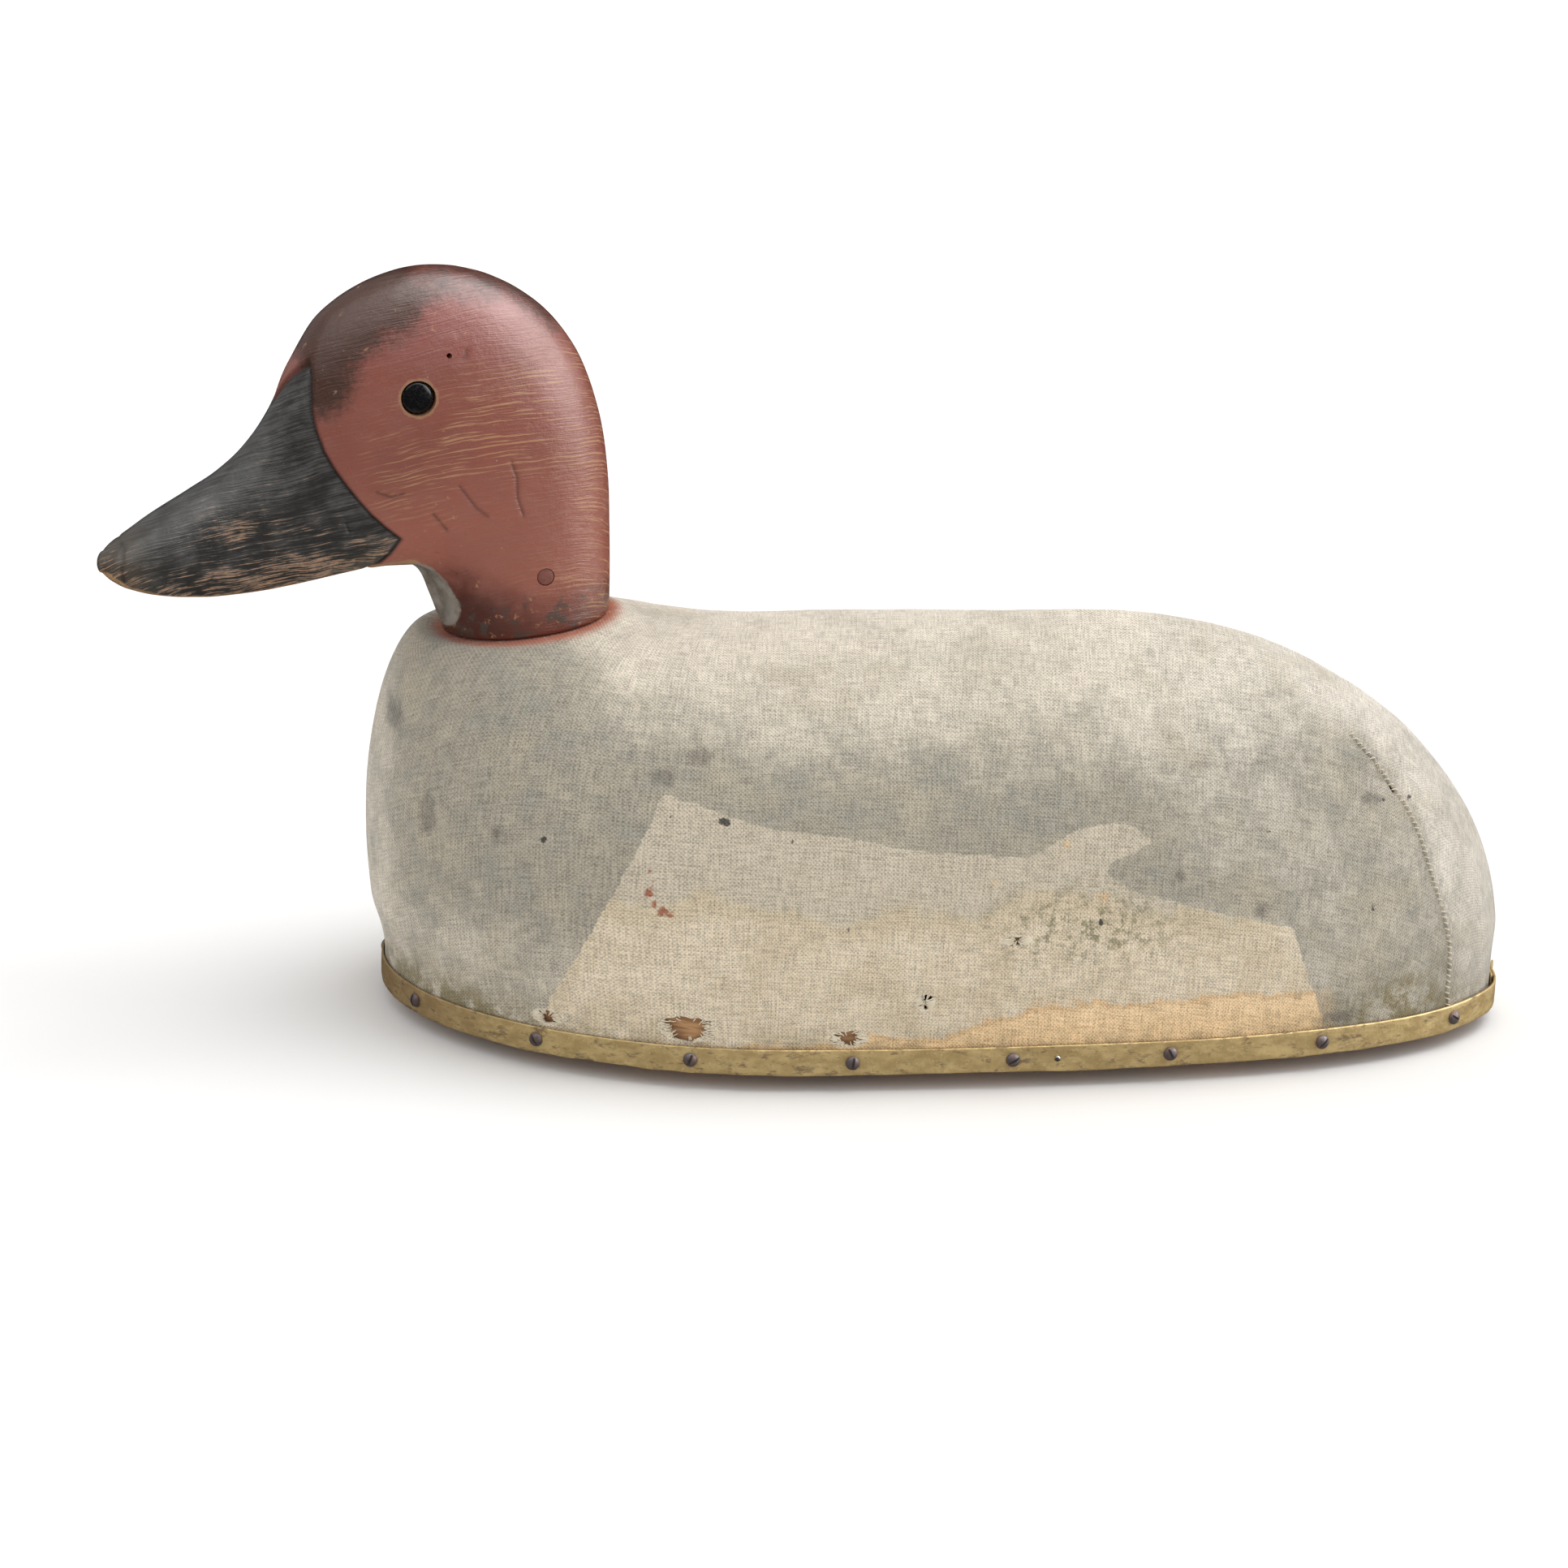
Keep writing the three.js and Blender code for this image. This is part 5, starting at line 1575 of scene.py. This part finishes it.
# Side view of the carved line between face and bill, in forward and up from the seat.
BILL_LINE = [
    (68.4, 105.6), (69.4, 100), (70.4, 92.6), (69.9, 85.9), (68.4, 78.6), (65.5, 71.7), (62, 65.2),
    (58.8, 59.8), (55, 54), (50.4, 48.4), (45.3, 42.8), (49.6, 36.8), (53.4, 33), (57, 30.5),
]
BILL_AREA = BILL_LINE + [(57, 10), (170, 10), (170, 140), (68.4, 140)]
# Seen from above, the line is a V: its point on the bill, then forward and half width of its open end.
VEE_AT = 81.6
VEE_NOTCH = (68.4, 11.4)
# Side views of the bill's nail, the hollow cut at the front of the neck, and the cracks on the left.
NAIL_LINE = [(142.4, 52.4), (143.4, 50), (144.2, 46), (144.4, 41)]
FACET = [
    (34.6, 28.5), (30.6, 23.8), (28.3, 19.2), (26.4, 14.6), (26.1, 11.7), (27.1, 7.9), (28.9, 4.7),
    (32, 2.2), (50, 2.2), (50, 26), (40, 31),
]
CRACKS = [
    [(3.2, 66), (1.9, 60), (2.6, 53), (1.2, 46)], [(64.2, 52), (63.2, 48.2)],
    [(22.6, 60), (17.5, 51), (14, 47.6)], [(33, 51), (28.6, 44)],
    [(13.6, 108), (15.4, 105.4)], [(52, 62), (47, 59.6), (43, 60.2)],
]
# The jaw's lower edge, and the line of dark smears from the bill over the crown.
JAW = [(40, 31), (72, 29.6), (100, 28.7), (116, 29.7), (132, 32.4), (142.5, 36.4), (148.6, 41.4)]
SMEAR_LINE = [(67, 104), (58, 118), (44, 128), (16, 132), (-8, 127), (-20, 113)]
SMALL_HOLE_AT = (20.4, 107.3)
FOOT_Z = 1.1


def head_sections(t):
    """Section values along the head by Catmull-Rom."""
    rows = np.array(HEAD_SECTIONS, float)
    place = t * (len(rows) - 1)
    k = np.minimum(place.astype(int), len(rows) - 2)
    f = (place - k)[:, None]
    pick = [rows[np.clip(k + d, 0, len(rows) - 1)] for d in (-1, 0, 1, 2)]
    return catmull(*pick, f)


def head_steps():
    """Places along the head, closer together round the carved line of the bill."""
    count = len(HEAD_SECTIONS) - 1
    places = []
    for k in range(count):
        steps = round(10 + 17 * math.exp(-((k - 8.5) / 2.6) ** 2))
        places += [(k + i / steps) / count for i in range(steps)]
    return np.array(places + [1.0])


def head_ring(section):
    """Points round one section at equal steps: forward, side, up."""
    top_h, top_z, low_h, low_z, half, widest, upper, lower = section
    a = np.linspace(0, math.pi, 900)
    c, s = np.cos(a), np.sin(a)
    above = np.maximum(c, 0) ** (2 / upper)
    below = np.maximum(-c, 0) ** (2 / lower)
    share = np.where(c > 0, widest + (1 - widest) * above, widest - widest * below)
    side = half * np.abs(s) ** (2 / np.where(c > 0, upper, lower))
    dense = np.stack([low_h + (top_h - low_h) * share, side, low_z + (top_z - low_z) * share], axis=-1)
    right = even_steps(dense, HEAD_COLUMNS // 2 + 1)
    left = right[-2:0:-1] * (1, -1, 1)
    return np.concatenate([right, left])


def head_grid():
    """Rings from the bill's rounded tip to the foot of the neck."""
    rings = [head_ring(section) for section in head_sections(head_steps())]
    first = rings[0]
    centre = first.mean(axis=0)
    # The tip closes in rings that shrink like a dome's.
    tip = []
    for k in range(1, 7):
        a = math.pi / 2 * k / 6.3
        ring = centre + (first - centre) * math.cos(a)
        ring[:, 0] += (HEAD_TIP - first[:, 0].mean()) * math.sin(a)
        tip.append(ring)
    rings = tip[::-1] + rings
    foot = rings[-1]
    # The neck's foot has a small round edge.
    for drop, inset in ((0.35, 0.12), (0.8, 0.45), (1.1, 1.1)):
        ring = foot.copy()
        ring[:, :2] *= 1 - inset / 29
        ring[:, 2] = FOOT_Z - drop
        rings.append(ring)
    rings[-4] = foot + (0, 0, FOOT_Z)
    return np.array([ring for ring in rings[:-4] if ring[:, 2].max() > FOOT_Z + 0.5] + rings[-4:])


def bill_distance(h, s, z):
    """Signed distance to the carved face line, positive on the bill."""
    side = inside_distance(np.stack([h, z], axis=-1), BILL_AREA)
    slope = VEE_NOTCH[1] / (VEE_AT - VEE_NOTCH[0])
    vee = (np.abs(s) - slope * (VEE_AT - h)) / math.hypot(1, slope)
    vee = vee + np.maximum(0, 86 - z) * 4
    return np.minimum(side, vee)


def carve(points):
    """Carved lines, hollows and dents of the head, as movement along its normals."""
    h, s, z = points[..., 0], points[..., 1], points[..., 2]
    bill = bill_distance(h, s, z)
    move = 0.10 * unevenness(points, 30, 91) + 0.05 * unevenness(points, 9, 92)
    move -= 0.75 * bell(bill - 0.1, 0.75)
    move += np.where(bill < 0, 0.35 * smooth((6 + bill) / 6), -0.25 * smooth(bill / 1.2))
    side_view = np.stack([h, z], axis=-1)
    move -= 0.4 * bell(path_distance(side_view, NAIL_LINE), 0.6)
    hollow = inside_distance(side_view, FACET)
    move -= np.where(hollow > 0, 1.9 * smooth(hollow / 6.5) * smooth(np.abs(s) / 6), 0)
    for crack in CRACKS:
        move -= np.where(s < 0, 0.45 * bell(path_distance(side_view, crack), 0.8), 0)
    return move


def head_marks(piece):
    """Stores where the bill, its line, the hollows and the worn edges lie."""
    p = points_of(piece)
    h, s, z = -p[:, 0], p[:, 1], p[:, 2]
    side_view = np.stack([h, z], axis=-1)
    bill = bill_distance(h, s, z)
    mark(piece, "bill", bill)
    nail = bell(path_distance(side_view, NAIL_LINE), 0.6)
    dents = np.maximum.reduce([bell(path_distance(side_view, crack), 0.6) for crack in CRACKS]) * (s < 0)
    mark(piece, "groove", np.clip(bell(bill - 0.1, 0.7) + 0.8 * nail + 0.5 * dents, 0, 1))
    facet = inside_distance(side_view, FACET)
    mark(piece, "facet", facet)
    eye = np.hypot(h - EYE_AT[0], z - EYE_AT[1])
    mark(piece, "rim", np.where(np.abs(s) > 10, bell(np.maximum(eye - EYE_SOCKET_R, 0), 1.2), 0))
    above_jaw = z - np.interp(h, *zip(*JAW))
    lower = 0.5 * smooth((26 - above_jaw) / 22) + 0.4 * smooth((3 - above_jaw) / 3)
    lower = (lower + 0.16) * smooth((bill + 1) / 4) - 0.14 * smooth((h - 122) / 14)
    lower += 0.15 * bell(z - 39, 9) * bell(h - 84, 26)
    blob = bell(np.hypot((h - 102) / 2.4, z - 54), 9) + 0.7 * bell(np.hypot((h - 72) / 1.4, z - 50), 7)
    lower = np.maximum(lower, 0.74 * blob)
    mark(piece, "lower", lower)
    smear = path_distance(side_view, SMEAR_LINE)
    front_share = smooth((h - 18) / 16)
    broad = smooth((22 - smear) / 19) * smooth((76 - h) / 8)
    mark(piece, "smear", front_share * broad + (1 - front_share) * 0.7 * smooth((13 - smear) / 12))
    grainy = bell(np.hypot((h + 4) / 1.5, z - 84), 19) + 0.9 * bell(h + 32, 16) * smooth((104 - z) / 10)
    grainy += 0.6 * bell(np.hypot((h - 40) / 1.5, z - 66), 20) + 0.2 * bell(z - 20, 12)
    mark(piece, "grainy", grainy)
    jaw = bell(above_jaw - 1, 2.2) * smooth((h - 36) / 6)
    brow = bell(facet, 0.9) * (facet > -1.6)
    mark(piece, "edge", np.clip(0.9 * jaw + 0.55 * brow, 0, 1))


def across(profile, at, side, sides, name="cutter"):
    """A turned solid along the head's side axis, its height counted outwards from the middle."""
    turn = Matrix.Rotation(math.pi / 2 * (1 if side < 0 else -1), 4, "X")
    place = Matrix.Translation(Vector((-at[0] * MM, 0, at[1] * MM)))
    return turned(name, profile, sides, seat_matrix(HEAD_TURN) @ place @ turn)


def peg_hole():
    return across([(PEG_R + 0.14, -60), (PEG_R + 0.14, 60)], PEG_AT, 1, 40)


def add_head(look):
    grid = head_grid()
    local = grid * (-1, 1, 1)
    normal = grid_normals(local[:, ::-1])[:, ::-1]
    centre = local.mean(axis=(0, 1))
    if np.einsum("ijk,ijk->", normal, local - centre) < 0:
        normal = -normal
    move = carve(grid)
    move[-4:] = 0
    local = local + normal * move[..., None]
    head = loft("carved_head", local[:, ::-1] * MM, seat_matrix(HEAD_TURN))
    bore = [(DOWEL_R + 0.2, -5), (DOWEL_R + 0.2, DOWEL_TOP + GAP)]
    cut(head, [turned("cutter", bore, 48, seat_matrix(HEAD_TURN))])
    cut(head, [peg_hole()])
    floor = EYE_SIDE - EYE_SOCKET_DEPTH
    socket = [(EYE_SOCKET_R - 0.2, floor), (EYE_SOCKET_R, EYE_SIDE - 3), (EYE_SOCKET_R + 0.5, 60)]
    cut(head, [across(socket, EYE_AT, side, 48) for side in (-1, 1)])
    cut(head, [across([(0.2, 21), (0.95, 22), (1.2, 60)], SMALL_HOLE_AT, -1, 16)])
    sharpen(head, 50)
    head_marks(head)
    finish_piece(head, look, "head_assembly", "painted_head", "head")


def add_eyes(look):
    floor = EYE_SIDE - EYE_SOCKET_DEPTH
    profile = [(EYE_R - 0.3, floor + GAP), (EYE_R, floor + 0.6)]
    profile += [(r, EYE_SIDE - EYE_DOME + z) for r, z in dome(EYE_R, EYE_DOME, 14)]
    for side, name in ((-1, "left"), (1, "right")):
        eye = across(profile, EYE_AT, side, 56, "glass_eye_" + name)
        finish_piece(eye, look, "head_assembly", "black_eye", "eye_" + name)


def add_dowel(look):
    profile = [
        (DOWEL_R - 1, DOWEL_BOTTOM), (DOWEL_R, DOWEL_BOTTOM + 1),
        (DOWEL_R, DOWEL_TOP - 1), (DOWEL_R - 1, DOWEL_TOP),
    ]
    dowel = turned("dowel", profile, 48, seat_matrix(HEAD_TURN))
    cut(dowel, [peg_hole()])
    sharpen(dowel)
    finish_piece(dowel, look, "head_assembly", "dowel_wood", "neck_dowel")


def add_peg(look):
    half = [(PEG_R, PEG_HALF - 0.5), (PEG_R - 0.12, PEG_HALF - 0.15), (PEG_R - 0.5, PEG_HALF)]
    profile = [(r, -z) for r, z in half[::-1]] + half
    peg = across(profile, PEG_AT, 1, 40, "peg")
    sharpen(peg)
    finish_piece(peg, look, "head_assembly", "painted_peg", "neck_peg")


# ---------------------------------------------------------------- assembly

def dress_frame(inner):
    """Wood for the frame inside the canvas, which keeps its CAD meshes."""
    for name in frame["record"]["behaviour"]["bodies"]["decoy_body"]:
        if name.startswith(("breast_", "tail_", "rib_", "slat_")):
            node = frame["nodes"][name]
            node.data.materials.clear()
            node.data.materials.append(inner)


def main():
    add_camera()
    add_light()
    add_floor()
    add_canvas()
    steel = rusty_steel_look()
    add_strip(brass_look())
    add_strip_screws(steel)
    add_nail(bright_steel_look())
    add_flat_screws(steel)
    add_staple(steel)
    add_base_board(wood_look("board_wood", *BOARD_WOOD))
    add_ballast(lead_look())
    add_head(head_look())
    add_eyes(glass_eye_look())
    add_dowel(wood_look("dowel_wood", *DOWEL_WOOD, along=2))
    add_peg(peg_look())
    dress_frame(wood_look("frame_pine", *FRAME_PINE))


main()
